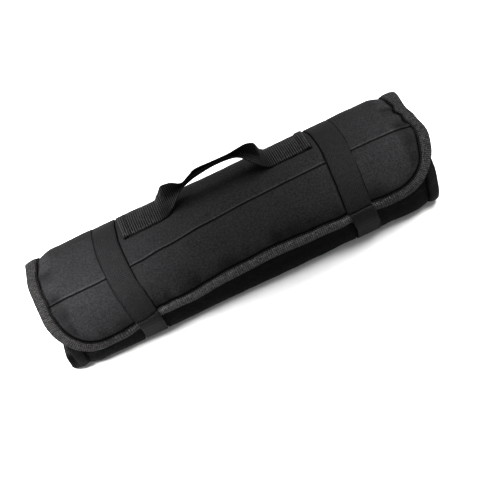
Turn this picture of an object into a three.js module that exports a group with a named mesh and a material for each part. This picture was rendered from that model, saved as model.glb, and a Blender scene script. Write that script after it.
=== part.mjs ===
// Chef's knife roll: a padded nylon panel rolled up two and a quarter turns,
// bound with folded tape, held by two elastic bands, with a webbing handle.
// Millimetres. +X runs along the roll, -Y is the front where the flap ends,
// +Z is up, and the roll lies on Z = 0.
import * as THREE from 'three';

// Sizes of the closed roll
const rollWidth = 142;
const rollHeight = 104;
const footHalf = 40;
const frontBulge = 48;
const backBulge = 50;
const crownOffset = 4;
const footRoundness = 0.55;
const frontRoundness = 0.58;
const backRoundness = 0.64;

// The panel and how it is wound
const panelLength = 470;
const padThickness = 7;
const windingPitch = 8.6;
const windingTurns = 2.25;
const cornerRadius = 56;
const flapEdgePath = 76;
const diveStart = 0.865;
const diveEnd = 0.975;

// Binding tape folded over the edge
const bindingWidth = 12.8;
const bindingThickness = 0.9;
const bindingClearance = 0.45;
const puffWidth = 18;
const edgeThickness = 2.2;
const edgeLift = 1.3;

// Gap between neighbours that touch
const clearance = 0.3;

// Elastic bands, pressed flush into the padding
const strapWidth = 30;
const strapThickness = 1.5;
const strapClearance = 0.5;
const strapInsetLeft = 95;
const strapInsetRight = 98.5;
const strapLean = 5;
const crownPath = 205;
const strapShoulder = 4;
const dipFadeStart = 0.88;
const dipFadeEnd = 0.93;
const strapStep = 6;

// Seam across the flap
const seamPath = 75;
const seamDepth = 1.3;
const seamHalfWidth = 4;

// How far the flap was rolled askew, and how far its ends waver
const askewReach = 8;
const waverReach = 3.5;
const waverSpan = 175;
const waverBand = 64;

// Handle webbing
const webbingWidth = 38;
const webbingThickness = 1.7;
const foldGap = 0.6;
const handlePath = 200;
const handleSkew = 4.8;
const patchLength = 46;
const patchMarginLeft = 9;
const patchMarginRight = 5.9;
const loopRise = 44;
const loopSteps = 2;

const panelColour = '#363636';
const tapeColour = '#434343';
const elasticColour = '#2f2f2f';
const webbingColour = '#3a3a3a';

// Where the flap's free edge and its seam lie along the path, as shares of
// askewReach, by position as a share of half the panel's length
const askewTable = [
  { along: -1, edge: -0.75, seam: -0.94 },
  { along: -0.75, edge: -0.75, seam: -0.88 },
  { along: -0.49, edge: 0.04, seam: -0.69 },
  { along: -0.35, edge: 0.06, seam: -0.31 },
  { along: -0.12, edge: 0.69, seam: 0.25 },
  { along: 0.12, edge: 0.95, seam: 0.63 },
  { along: 0.36, edge: 0.68, seam: 0.83 },
  { along: 0.5, edge: 0.44, seam: 0.91 },
  { along: 0.72, edge: 0.53, seam: 0.98 },
  { along: 1, edge: 0.88, seam: 0.5 },
];

// How much further each end of the flap reaches, as a share of waverReach, by
// path from the free edge as a share of waverSpan
const endReachTable = [
  { path: 0, left: -0.3, right: 0 },
  { path: 0.23, left: -0.3, right: 0.3 },
  { path: 0.37, left: 0, right: 0.9 },
  { path: 0.49, left: 0.4, right: 0.17 },
  { path: 0.6, left: 0.5, right: -0.97 },
  { path: 0.78, left: -0.3, right: -0.46 },
  { path: 1, left: 0, right: 0 },
];

// How deep a band runs where it bridges the step under the flap's edge, as a
// share of windingPitch, by path as a share of flapEdgePath
const strapBridgeTable = [
  { path: 0.36, depth: 0 },
  { path: 0.45, depth: 0.035 },
  { path: 0.55, depth: 0.19 },
  { path: 0.66, depth: 0.3 },
  { path: 0.79, depth: 0.26 },
  { path: 0.9, depth: 0.12 },
  { path: 1, depth: 0 },
];

// The free part of the handle, by share of the way from patch to patch. Each
// edge of the web and its fold is given as [across, rise]: across as a share of
// half the webbing's width and rise as a share of loopRise, both from the
// middle of the patches. lay is how much the web still follows the panel.
const loopTable = [
  { share: 0, lay: 1, front: [-0.95, 0.17], fold: [0, 0.02], back: [0.8, -0.24] },
  { share: 0.05, lay: 0.6, front: [-0.95, 0.16], fold: [0.08, 0.08], back: [0.72, 0.3] },
  { share: 0.12, lay: 0.1, front: [-0.74, 0.22], fold: [0.19, 0.16], back: [0.41, 0.56] },
  { share: 0.2, lay: 0, front: [-0.57, 0.5], fold: [0.19, 0.28], back: [0.05, 0.72] },
  { share: 0.27, lay: 0, front: [-0.35, 0.74], fold: [0.16, 0.4], back: [-0.25, 0.77] },
  { share: 0.34, lay: 0, front: [-0.27, 0.85], fold: [0.19, 0.5], back: [-0.17, 0.88] },
  { share: 0.41, lay: 0, front: [-0.24, 0.92], fold: [0.23, 0.56], back: [-0.04, 0.96] },
  { share: 0.55, lay: 0, front: [-0.22, 0.97], fold: [0.28, 0.62], back: [-0.13, 0.99] },
  { share: 0.67, lay: 0, front: [-0.24, 0.95], fold: [0.28, 0.61], back: [-0.13, 0.98] },
  { share: 0.76, lay: 0, front: [-0.48, 0.87], fold: [0.23, 0.6], back: [-0.06, 0.99] },
  { share: 0.84, lay: 0, front: [-0.72, 0.56], fold: [0.2, 0.48], back: [0.14, 0.91] },
  { share: 0.91, lay: 0.05, front: [-0.85, 0.27], fold: [0.09, 0.25], back: [0.35, 0.7] },
  { share: 0.96, lay: 0.6, front: [-0.93, 0.2], fold: [0.03, 0.1], back: [0.7, 0.22] },
  { share: 1, lay: 1, front: [-0.95, 0.17], fold: [0, 0.02], back: [0.8, -0.24] },
];

function clamp01(value) {
  return Math.min(1, Math.max(0, value));
}

function smoothStep(value) {
  const share = clamp01(value);
  return share * share * (3 - 2 * share);
}

function readTable(table, key, position, column) {
  if (position <= table[0][key]) return table[0][column];
  for (let row = 1; row < table.length; row += 1) {
    const low = table[row - 1];
    const high = table[row];
    if (position <= high[key]) {
      const share = smoothStep((position - low[key]) / (high[key] - low[key]));
      return low[column] + (high[column] - low[column]) * share;
    }
  }
  return table[table.length - 1][column];
}

// The roll's outline as one closed run of points, from the front foot up the
// front, over the crown, down the back and along the flat it rests on.
function outlinePoints() {
  const half = rollWidth / 2;
  const corners = [
    { from: [-footHalf, 0], to: [-half, frontBulge], flatFirst: true, round: footRoundness },
    {
      from: [-half, frontBulge],
      to: [crownOffset, rollHeight],
      flatFirst: false,
      round: frontRoundness,
    },
    { from: [crownOffset, rollHeight], to: [half, backBulge], flatFirst: true, round: backRoundness },
    { from: [half, backBulge], to: [footHalf, 0], flatFirst: false, round: footRoundness },
  ];
  const points = [];
  const steps = 120;
  for (const { from, to, flatFirst, round } of corners) {
    const reach = [(to[0] - from[0]) * round, (to[1] - from[1]) * round];
    const first = flatFirst ? [from[0] + reach[0], from[1]] : [from[0], from[1] + reach[1]];
    const second = flatFirst ? [to[0], to[1] - reach[1]] : [to[0] - reach[0], to[1]];
    const curve = new THREE.CubicBezierCurve(
      new THREE.Vector2(...from),
      new THREE.Vector2(...first),
      new THREE.Vector2(...second),
      new THREE.Vector2(...to),
    );
    points.push(...curve.getPoints(steps).slice(0, steps));
  }
  points.push(new THREE.Vector2(footHalf, 0), points[0].clone());
  return points;
}

const outline = outlinePoints();
const outlineRun = [0];
for (let index = 1; index < outline.length; index += 1) {
  outlineRun.push(outlineRun[index - 1] + outline[index].distanceTo(outline[index - 1]));
}
const outlineLength = outlineRun[outlineRun.length - 1];

function wrapPath(path) {
  return ((path % outlineLength) + outlineLength) % outlineLength;
}

// A point of the outline at a path position, shrunk inwards by a depth
function outlineAt(path, depth) {
  const wrapped = wrapPath(path);
  let low = 0;
  let high = outlineRun.length - 1;
  while (high - low > 1) {
    const middle = (low + high) >> 1;
    if (outlineRun[middle] <= wrapped) low = middle;
    else high = middle;
  }
  const share = (wrapped - outlineRun[low]) / (outlineRun[high] - outlineRun[low]);
  const point = outline[low].clone().lerp(outline[high], share);
  const middleHeight = rollHeight / 2;
  return {
    y: point.x * (1 - depth / (rollWidth / 2)),
    z: middleHeight + (point.y - middleHeight) * (1 - depth / middleHeight),
  };
}

// Depth of the panel's outer face after a number of turns
function windingDepth(turns) {
  let depth = 0;
  for (let lap = 0; lap < windingTurns; lap += 1) {
    depth += windingPitch * smoothStep((turns - lap - diveStart) / (diveEnd - diveStart));
  }
  return depth;
}

// Turns wound at each distance along the panel, as a table
const turnStep = 0.01;
const windingRun = [0];
for (let index = 1; index * turnStep <= windingTurns + turnStep / 2; index += 1) {
  const depth = windingDepth((index - 0.5) * turnStep);
  windingRun.push(windingRun[index - 1] + (outlineLength - 2 * Math.PI * depth) * turnStep);
}
const panelPath = windingRun[windingRun.length - 1];

function turnsAt(path) {
  if (path <= 0) return path / outlineLength;
  let index = 1;
  while (index < windingRun.length - 1 && windingRun[index] < path) index += 1;
  const low = windingRun[index - 1];
  return (index - 1 + (path - low) / (windingRun[index] - low)) * turnStep;
}

// Where the bands' middle lines lie along the roll
const strapCentreLeft = strapInsetLeft - panelLength / 2;
const strapCentreRight = panelLength / 2 - strapInsetRight;

// Each band leans a little: it lies further over at the crown than at the front
function strapLeanAt(side, path) {
  const round = wrapPath(path);
  const rising = (round - flapEdgePath) / (crownPath - flapEdgePath);
  const falling = (outlineLength - round) / (outlineLength - crownPath);
  const lean = strapLean * (0.5 - clamp01(Math.min(rising, falling)));
  return side < 0 ? lean : -lean / 2;
}

// The padding moves sideways with the band that lies in it
function leanShift(along, path) {
  const side = Math.sign(along);
  const centre = side < 0 ? strapCentreLeft : strapCentreRight;
  const beyond = Math.abs(along - centre) - strapWidth / 2 - strapShoulder;
  return strapLeanAt(side, path) * (1 - smoothStep(beyond / strapWidth));
}

function askewAt(along, path) {
  const share = along / (panelLength / 2);
  const edge = askewReach * readTable(askewTable, 'along', share, 'edge');
  const seam = askewReach * readTable(askewTable, 'along', share, 'seam');
  if (path < seamPath) return edge + (seam - edge) * smoothStep(path / seamPath);
  return seam * (1 - smoothStep((path - seamPath) / seamPath));
}

function endReachAt(along, path) {
  const side = along < 0 ? 'left' : 'right';
  const reach = waverReach * readTable(endReachTable, 'path', path / waverSpan, side);
  const inner = panelLength / 2 - waverBand;
  return Math.sign(along) * reach * clamp01((Math.abs(along) - inner) / waverBand);
}

// Height of the panel's two faces over its inner side, by distance from its edge
function faceHeights(fromEdge) {
  const rise = smoothStep((fromEdge - bindingWidth) / puffWidth);
  const puff = Math.sqrt(rise);
  return {
    inner: edgeLift * (1 - puff),
    outer: edgeLift + edgeThickness + (padThickness - edgeLift - edgeThickness) * puff,
  };
}

// A point of the wound panel: position along the roll, path from the flap's
// edge, and height over the panel's inner side
function woundPoint(along, path, height) {
  const turns = turnsAt(path);
  const depth = windingDepth(turns) + padThickness - height;
  const place = flapEdgePath + turns * outlineLength;
  const { y, z } = outlineAt(place + askewAt(along, path), depth);
  const shift = leanShift(along, place) + endReachAt(along, path);
  return new THREE.Vector3(along + shift, y, z);
}

// Dips in the outer face: along the seam, and under the bands where they lie
// on the outermost turn
function faceDip(along, path) {
  const fromSeam = Math.abs(path - seamPath);
  const seam = seamDepth * clamp01(1 - fromSeam / seamHalfWidth);
  const centre = along < 0 ? strapCentreLeft : strapCentreRight;
  const beyond = Math.abs(along - centre) - strapWidth / 2 - strapClearance;
  const covered = 1 - smoothStep(beyond / strapShoulder);
  const outermost = 1 - smoothStep((turnsAt(path) - dipFadeStart) / (dipFadeEnd - dipFadeStart));
  const padded = smoothStep((path - bindingWidth) / puffWidth);
  return Math.max(seam, (strapThickness + strapClearance) * covered * outermost * padded);
}

function makeMesh(name, positions, triangles, colour, roughness) {
  const geometry = new THREE.BufferGeometry();
  geometry.setAttribute(
    'position',
    new THREE.Float32BufferAttribute(positions.flatMap((point) => point.toArray()), 3),
  );
  let volume = 0;
  for (const [a, b, c] of triangles) {
    volume += positions[a].dot(positions[b].clone().cross(positions[c]));
  }
  const turned = volume < 0 ? triangles.map(([a, b, c]) => [a, c, b]) : triangles;
  geometry.setIndex(turned.flat());
  geometry.computeVertexNormals();
  const material = new THREE.MeshStandardMaterial({ color: colour, roughness, metalness: 0 });
  const mesh = new THREE.Mesh(geometry, material);
  mesh.name = name;
  return mesh;
}

// Joins rings of points, each with the same count, into one closed skin. Each
// four-sided patch is halved corner to corner, the other way where turned says.
function ringSkin(ringCount, ringSize, closed, turned = () => false) {
  const triangles = [];
  const joins = closed ? ringCount : ringCount - 1;
  for (let ring = 0; ring < joins; ring += 1) {
    const next = (ring + 1) % ringCount;
    for (let spot = 0; spot < ringSize; spot += 1) {
      const a = ring * ringSize + spot;
      const b = ring * ringSize + ((spot + 1) % ringSize);
      const c = next * ringSize + ((spot + 1) % ringSize);
      const d = next * ringSize + spot;
      if (turned(spot)) triangles.push([a, b, d], [b, c, d]);
      else triangles.push([a, b, c], [a, c, d]);
    }
  }
  return triangles;
}

function evenSteps(from, to, step) {
  const count = Math.max(1, Math.round((to - from) / step));
  return Array.from({ length: count + 1 }, (_, index) => from + ((to - from) * index) / count);
}

// Stations of the inner rectangle that the rounded rim is built around
const rimLength = panelLength / 2 - cornerRadius;
const bandReach = strapWidth / 2 + strapClearance;
const middleReach = Math.min(-strapCentreLeft, strapCentreRight) - bandReach - strapShoulder;
const alongStations = [
  -rimLength,
  (-rimLength + strapCentreLeft - bandReach) / 2,
  ...[strapCentreLeft, strapCentreRight].flatMap((centre) => [
    centre - bandReach - strapShoulder,
    centre - bandReach,
    centre + bandReach,
    centre + bandReach + strapShoulder,
  ]),
  ...[-0.5, 0, 0.5].map((share) => share * middleReach),
  (rimLength + strapCentreRight + bandReach) / 2,
  rimLength,
].sort((first, second) => first - second);
const outerTurnPath = outlineLength - cornerRadius;
const outerStep = 14;
const innerStep = 17;
const pathStations = [
  ...evenSteps(cornerRadius, seamPath - 2 * seamHalfWidth, outerStep),
  seamPath - seamHalfWidth,
  seamPath,
  seamPath + seamHalfWidth,
  ...evenSteps(seamPath + 2 * seamHalfWidth, outerTurnPath, outerStep),
  ...evenSteps(outerTurnPath, panelPath - cornerRadius, innerStep).slice(1),
];
const rimDistances = [
  cornerRadius,
  (cornerRadius + bindingWidth + puffWidth) / 2,
  bindingWidth + puffWidth,
  bindingWidth + puffWidth * 0.5,
  bindingWidth + puffWidth * 0.22,
  bindingWidth + bindingClearance,
  0,
];

// Walks round the inner rectangle: each stop has its place and the way outwards
function rimStops() {
  const stops = [];
  const last = pathStations.length - 1;
  const arcSteps = 6;
  const arc = (along, path, startAngle) => {
    for (let step = 1; step < arcSteps; step += 1) {
      const angle = startAngle + (Math.PI / 2) * (step / arcSteps);
      stops.push({ along, path, out: [Math.cos(angle), Math.sin(angle)] });
    }
  };
  for (const along of alongStations) stops.push({ along, path: pathStations[0], out: [0, -1] });
  arc(rimLength, pathStations[0], -Math.PI / 2);
  for (const path of pathStations) stops.push({ along: rimLength, path, out: [1, 0] });
  arc(rimLength, pathStations[last], 0);
  for (const along of [...alongStations].reverse()) {
    stops.push({ along, path: pathStations[last], out: [0, 1] });
  }
  arc(-rimLength, pathStations[last], Math.PI / 2);
  for (const path of [...pathStations].reverse()) {
    stops.push({ along: -rimLength, path, out: [-1, 0] });
  }
  arc(-rimLength, pathStations[0], Math.PI);
  return stops;
}

function rimPlace(stop, fromEdge) {
  const outward = cornerRadius - fromEdge;
  return { along: stop.along + stop.out[0] * outward, path: stop.path + stop.out[1] * outward };
}

function buildPanel() {
  const places = [];
  const lookup = new Map();
  const placeIndex = (along, path, fromEdge) => {
    const key = `${along.toFixed(4)} ${path.toFixed(4)}`;
    if (!lookup.has(key)) {
      lookup.set(key, places.length);
      places.push({ along, path, fromEdge });
    }
    return lookup.get(key);
  };
  const flat = [];
  const addQuad = (a, b, c, d) => {
    for (const corners of [[a, b, c], [a, c, d]]) {
      if (new Set(corners).size === 3) flat.push(corners);
    }
  };
  for (let i = 0; i < alongStations.length - 1; i += 1) {
    for (let j = 0; j < pathStations.length - 1; j += 1) {
      const pick = (di, dj) =>
        placeIndex(alongStations[i + di], pathStations[j + dj], cornerRadius);
      addQuad(pick(0, 0), pick(1, 0), pick(1, 1), pick(0, 1));
    }
  }
  const stops = rimStops();
  const pickRim = (stop, step) => {
    const { along, path } = rimPlace(stop, rimDistances[step]);
    return placeIndex(along, path, rimDistances[step]);
  };
  const edgeLoop = [];
  for (let index = 0; index < stops.length; index += 1) {
    const here = stops[index];
    const next = stops[(index + 1) % stops.length];
    for (let step = 0; step < rimDistances.length - 1; step += 1) {
      addQuad(pickRim(here, step), pickRim(here, step + 1), pickRim(next, step + 1),
        pickRim(next, step));
    }
    edgeLoop.push(pickRim(here, rimDistances.length - 1));
  }
  const count = places.length;
  const positions = [];
  for (const side of ['outer', 'inner']) {
    for (const { along, path, fromEdge } of places) {
      const height = faceHeights(fromEdge)[side] - (side === 'outer' ? faceDip(along, path) : 0);
      positions.push(woundPoint(along, path, height));
    }
  }
  const triangles = [];
  for (const [a, b, c] of flat) triangles.push([a, b, c], [a + count, c + count, b + count]);
  for (let index = 0; index < edgeLoop.length; index += 1) {
    const a = edgeLoop[index];
    const b = edgeLoop[(index + 1) % edgeLoop.length];
    if (a !== b) triangles.push([a, a + count, b + count], [a, b + count, b]);
  }
  return makeMesh('padded_panel', positions, triangles, panelColour, 0.85);
}

// The tape: a folded strip that holds the panel's edge between its two legs
function buildBinding() {
  const low = edgeLift - bindingClearance;
  const high = edgeLift + edgeThickness + bindingClearance;
  const wall = bindingThickness;
  const section = [
    [bindingWidth, high],
    [bindingWidth, high + wall],
    [0, high + wall],
    [-bindingClearance - wall, high],
    [-bindingClearance - wall, low],
    [0, low - wall],
    [bindingWidth, low - wall],
    [bindingWidth, low],
    [-bindingClearance, low],
    [-bindingClearance, high],
  ];
  const stops = rimStops();
  const positions = stops.flatMap((stop) =>
    section.map(([fromEdge, height]) => {
      const { along, path } = rimPlace(stop, fromEdge);
      return woundPoint(along, path, height);
    }),
  );
  const outwards = (spot) => section[(spot + 1) % section.length][0] > section[spot][0];
  const triangles = ringSkin(stops.length, section.length, true, outwards);
  return makeMesh('edge_binding', positions, triangles, tapeColour, 0.8);
}

// An elastic band stretched round the closed roll
function buildStrap(name, side) {
  const half = strapWidth / 2;
  const section = [
    [-half, 0],
    [half, 0],
    [half, strapThickness],
    [-half, strapThickness],
  ];
  const centre = side < 0 ? strapCentreLeft : strapCentreRight;
  const paths = evenSteps(0, outlineLength, strapStep).slice(0, -1);
  const positions = paths.flatMap((path) => {
    const bridge = readTable(strapBridgeTable, 'path', path / flapEdgePath, 'depth');
    return section.map(([across, depth]) => {
      const { y, z } = outlineAt(path, windingPitch * bridge + depth);
      return new THREE.Vector3(centre + strapLeanAt(side, path) + across, y, z);
    });
  });
  return makeMesh(name, positions, ringSkin(paths.length, section.length, true), elasticColour, 0.9);
}

// The handle web: flat on the panel at both ends, folded lengthwise in the grip
function buildHandle() {
  const half = webbingWidth / 2;
  const gap = (webbingThickness + foldGap) / 2;
  const start = strapCentreLeft + strapLeanAt(-1, handlePath) + strapWidth / 2 + patchMarginLeft;
  const end = strapCentreRight + strapLeanAt(1, handlePath) - strapWidth / 2 - patchMarginRight;
  const from = start + patchLength;
  const to = end - patchLength;
  const base = outlineAt(handlePath, 0);
  const curve = (column) =>
    new THREE.CatmullRomCurve3(
      loopTable.map((row) => {
        const [across, rise] = row[column];
        return new THREE.Vector3(row.share, base.y + across * half, base.z + rise * loopRise);
      }),
      false,
      'centripetal',
    );
  const columns = { front: curve('front'), fold: curve('fold'), back: curve('back') };
  const last = loopTable.length - 1;
  const edgePoint = (column, row) => {
    const point = columns[column].getPoint(row / last);
    return new THREE.Vector2(point.y, point.z);
  };
  const acrossShares = [-1, -0.66, -0.33, -gap / half, gap / half, 0.33, 0.66, 1];
  const laidLine = (along, depth) => {
    const middle = handlePath + handleSkew * ((along - start) / (end - start) - 0.5);
    return acrossShares.map((share) => {
      const { y, z } = outlineAt(middle + share * half, -depth);
      return new THREE.Vector2(y, z);
    });
  };
  const freeLine = (row) => {
    const front = edgePoint('front', row);
    const fold = edgePoint('fold', row);
    const back = edgePoint('back', row);
    const apart = front.clone().sub(back).normalize().multiplyScalar(gap);
    const foldFront = fold.clone().add(apart);
    const foldBack = fold.clone().sub(apart);
    return acrossShares.map((share) => {
      const away = (Math.abs(share) - gap / half) / (1 - gap / half);
      return share < 0 ? foldFront.clone().lerp(front, away) : foldBack.clone().lerp(back, away);
    });
  };
  const thicken = (line) => {
    const faces = [[], []];
    line.forEach((point, index) => {
      const before = line[Math.max(0, index - 1)];
      const after = line[Math.min(line.length - 1, index + 1)];
      const run = after.clone().sub(before).normalize();
      const normal = new THREE.Vector2(-run.y, run.x).multiplyScalar(webbingThickness / 2);
      faces[0].push(point.clone().add(normal));
      faces[1].push(point.clone().sub(normal));
    });
    return faces;
  };
  const rings = [];
  const addRing = (along, row, lay) => {
    const laid = [clearance + webbingThickness, clearance].map((depth) => laidLine(along, depth));
    const free = thicken(freeLine(row));
    const faces = laid.map((line, face) =>
      line.map((point, index) => point.clone().lerp(free[face][index], 1 - lay)),
    );
    const ring = [...faces[0], ...faces[1].reverse()];
    rings.push(ring.map((point) => new THREE.Vector3(along, point.x, point.y)));
  };
  for (const along of evenSteps(start, from, patchLength / 4).slice(0, -1)) addRing(along, 0, 1);
  for (let step = 0; step <= last * loopSteps; step += 1) {
    const row = step / loopSteps;
    const low = loopTable[Math.floor(row)];
    const high = loopTable[Math.min(last, Math.floor(row) + 1)];
    const share = columns.fold.getPoint(row / last).x;
    const lay = low.lay + (high.lay - low.lay) * smoothStep(row - Math.floor(row));
    addRing(from + (to - from) * share, row, lay);
  }
  for (const along of evenSteps(to, end, patchLength / 4).slice(1)) addRing(along, last, 1);
  const size = rings[0].length;
  const triangles = ringSkin(rings.length, size, false);
  for (const [ring, flip] of [[0, false], [rings.length - 1, true]]) {
    for (let spot = 0; spot < size / 2 - 1; spot += 1) {
      const a = ring * size + spot;
      const b = ring * size + spot + 1;
      const c = ring * size + size - 2 - spot;
      const d = ring * size + size - 1 - spot;
      triangles.push(...(flip ? [[a, b, c], [a, c, d]] : [[a, c, b], [a, d, c]]));
    }
  }
  return makeMesh('carry_handle', rings.flat(), triangles, webbingColour, 0.8);
}

const group = new THREE.Group();
group.name = 'chef_knife_roll';
group.add(buildPanel(), buildBinding());
group.add(buildStrap('elastic_strap_left', -1), buildStrap('elastic_strap_right', 1));
group.add(buildHandle());
const middle = new THREE.Box3().setFromObject(group).getCenter(new THREE.Vector3());
group.position.set(-middle.x, -middle.y, 0);
export default group;
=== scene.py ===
"""Chef's knife roll, rolled up: the fine surfaces, materials, light and camera.

The roll is one padded nylon panel wound two and a quarter turns, with tape
folded over its edge, two elastic bands round it and a webbing carry handle.
Lengths in the tables and functions are millimetres; meshes are in metres.
"""

import math
from collections import namedtuple

import bmesh
import bpy
import numpy as np
from mathutils import Matrix, Vector


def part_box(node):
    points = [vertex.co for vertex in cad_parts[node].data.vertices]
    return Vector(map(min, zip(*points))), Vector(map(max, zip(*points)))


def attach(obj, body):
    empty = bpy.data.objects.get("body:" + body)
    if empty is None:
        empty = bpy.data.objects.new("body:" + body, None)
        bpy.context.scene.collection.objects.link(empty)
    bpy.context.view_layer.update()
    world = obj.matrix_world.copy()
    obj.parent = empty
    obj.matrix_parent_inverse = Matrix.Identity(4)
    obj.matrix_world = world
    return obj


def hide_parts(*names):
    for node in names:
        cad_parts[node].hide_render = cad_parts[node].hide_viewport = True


bl_info = {
    "name": "Chef's Knife Roll",
    "version": (1, 0, 0),
    "blender": (4, 5, 0),
    "location": "3D View > Sidebar > Knife Roll",
    "description": "Builds a rolled-up chef's knife roll, its materials and its studio stage",
    "category": "Add Mesh",
}

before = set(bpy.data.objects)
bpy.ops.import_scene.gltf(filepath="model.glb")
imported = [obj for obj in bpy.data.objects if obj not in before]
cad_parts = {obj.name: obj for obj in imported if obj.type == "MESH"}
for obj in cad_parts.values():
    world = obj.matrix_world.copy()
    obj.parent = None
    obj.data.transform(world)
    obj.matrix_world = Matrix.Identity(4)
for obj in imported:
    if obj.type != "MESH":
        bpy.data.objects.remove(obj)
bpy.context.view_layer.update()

MM = 0.001

# The roll's outline, the panel and how it is wound
ROLL_WIDTH = 142.0
ROLL_HEIGHT = 104.0
FOOT_HALF = 40.0
FRONT_BULGE = 48.0
BACK_BULGE = 50.0
CROWN_OFFSET = 4.0
FOOT_ROUNDNESS = 0.55
FRONT_ROUNDNESS = 0.58
BACK_ROUNDNESS = 0.64
PANEL_LENGTH = 470.0
PAD_THICKNESS = 7.0
WINDING_PITCH = 8.6
WINDING_TURNS = 2.25
CORNER_RADIUS = 56.0
FLAP_EDGE_PATH = 76.0
FLAP_LIFT = 1.8
FLAP_LIFT_PATH = 40.0
FLAP_LIFT_FADE = 13.0
DIVE_START = 0.865
DIVE_END = 0.975
INNERMOST_TURN = 300.0

# The cloth's mesh: steps, and lines at set distances from the panel's edge
OUTLINE_STEPS = 240
TURN_STEP = 0.01
PANEL_ARC_STEPS = 14
TAPE_ARC_STEPS = 18
BAND_EDGE_STEP = 0.5
BAND_EDGE_INSET = 0.6
INNER_TURN_COARSER = 1.4
FROM_EDGE_INSIDE = (52, 48, 44, 40.5, 37, 33.5)
FROM_TAPE = (18, 15, 12.4, 10, 8, 6.2, 4.8, 3.6, 2.6, 1.8, 1.2, 0.7, 0.3, -0.4)
FROM_EDGE_UNDER_TAPE = (9, 4, 0)
FROM_SEAM = (-7, -5, -3.4, -2.2, -1.5, -1, -0.6, -0.2, 0.2, 0.6, 1.2, 2.4, 4)

# The folded tape
BINDING_WIDTH = 12.8
BINDING_THICKNESS = 0.9
BINDING_CLEARANCE = 0.45
TAPE_FACE_GAP = BINDING_CLEARANCE * 0.6
EDGE_THICKNESS = 2.2
EDGE_LIFT = 1.3
PUFF_WIDTH = 18.0
INNER_RELIEF = 0.35
STITCH_INSET = 1.6
TAPE_STOPS = (12.8, 12.3, 11.9, 11.5, 11.2, 10.9, 10.5, 9.8, 8.8, 7.4, 6, 4.6, 3.2, 1.8, 0.6, 0)
TAPE_BACK_STOPS = (0, 3.2, 6.4, 9.6, BINDING_WIDTH)
TAPE_CROWN = 1.0
TAPE_LIP = 0.05
TAPE_FOLD_REACH = 1.75

# The elastic bands
STRAP_WIDTH = 30.0
STRAP_THICKNESS = 1.5
STRAP_CLEARANCE = 0.5
STRAP_CENTRES = {-1: -140.0, 1: 136.5}
BAND_WIDTHS = (27.6, 29.0)
LEAN_PATH = (0, 52, 78, 98, 112, 132, 152, 168, 182, 200, 230, 388)
LEAN_LEFT = (6, 9.4, 8.8, 7.2, 5.3, 2, 1, 0.4, 0.4, 2.2, 4.5, 6)
LEAN_RIGHT = (3, 2.7, -1.2, -3, -2.4, -0.8, 1, 2.5, 2.6, 1.9, -0.8, 3)
STRAP_SHOULDER = 3.0
INNER_GAP = 0.7
OUTER_GAP = 0.1
SNUG_SHOULDER = 1.1
BAND_FLAT_SHARE = 0.93
BAND_BACK_SHARE = 0.97
BAND_ROUNDING = ((1, 0.8), (0.985, 0.3))
STITCH_ROW_PATH = FLAP_EDGE_PATH + BINDING_WIDTH - STITCH_INSET
DIP_FADE_START = 0.88
DIP_FADE_END = 0.93
BAND_STEP = 2.4
BAND_BACK_STEP = 2.6
BAND_CREASE_STEP = 0.6
BAND_FOOT_MARGIN = 6.0
BAND_CREASE_BEFORE = 8.0
BAND_CREASE_AFTER = 12.0

# Seam, askew rolling, wavering and puckered ends
SEAM_PATH = 75.0
SEAM_RIDGE = 0.9
SEAM_RIDGE_FALL = 3.0
WAVY_END = 34.0
PUCKER_START = 40.0
PUCKER_FADE = 3.0
PUCKER_IN_MIDDLE = 0.45
ASKEW_REACH = 8.0
WAVER_REACH = 3.5
WAVER_SPAN = 175.0
WAVER_BAND = 64.0
TUCK_PATH = (255, 300, 330, 348, 366)
TUCK_LEFT = (0, -4, -6, -3, 9)
TUCK_RIGHT = (0, 0, 0.5, 2.5, 4.5)

# Handle webbing
CLEARANCE = 0.3
WEBBING_WIDTH = 38.0
WEBBING_THICKNESS = 1.7
FOLD_GAP = 0.6
HANDLE_PATH = 200.0
HANDLE_SKEW = 4.8
PATCH_LENGTH = 46.0
HANDLE_ENDS = (-118.5, 116.85)
LOOP_RISE = 44.0
LOOP_STATIONS = 160
WEB_STEP = 1.2
HEM_LENGTH = 9.5
HEM_SLOPE = 1.4
HEM_RISE = 0.8
HEM_CUT = 0.45
HEM_CUT_LENGTH = 0.9
WEB_STOPS = (0.2, 0.4, 0.6, 0.8, 0.93, 0.985, 1.0)
WEB_EDGE_THICKNESS = ((0.93, 0.985, 1.0), (1.0, 0.75, 0.3))
WEB_BOW = 0.9

# Stitches: how deep their rows lie, and the box's half width as a share of the web's
LOOK_AHEAD = 0.4
TAPE_STITCH_DEPTH = 0.35
SEAM_STITCH_DEPTH = 0.75
PATCH_STITCH_DEPTH = 0.05
PATCH_STITCH_SHARE = 0.84
PATCH_STITCH_OUTER = 2.5
PATCH_STITCH_INNER = 6.0
STROKE_POINTS = 24
SEAM_STITCH_STEP = 2.0
SEAM_STITCH_MARGIN = 1.0
SEAM_STITCH_PATH = SEAM_PATH - 0.5

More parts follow.
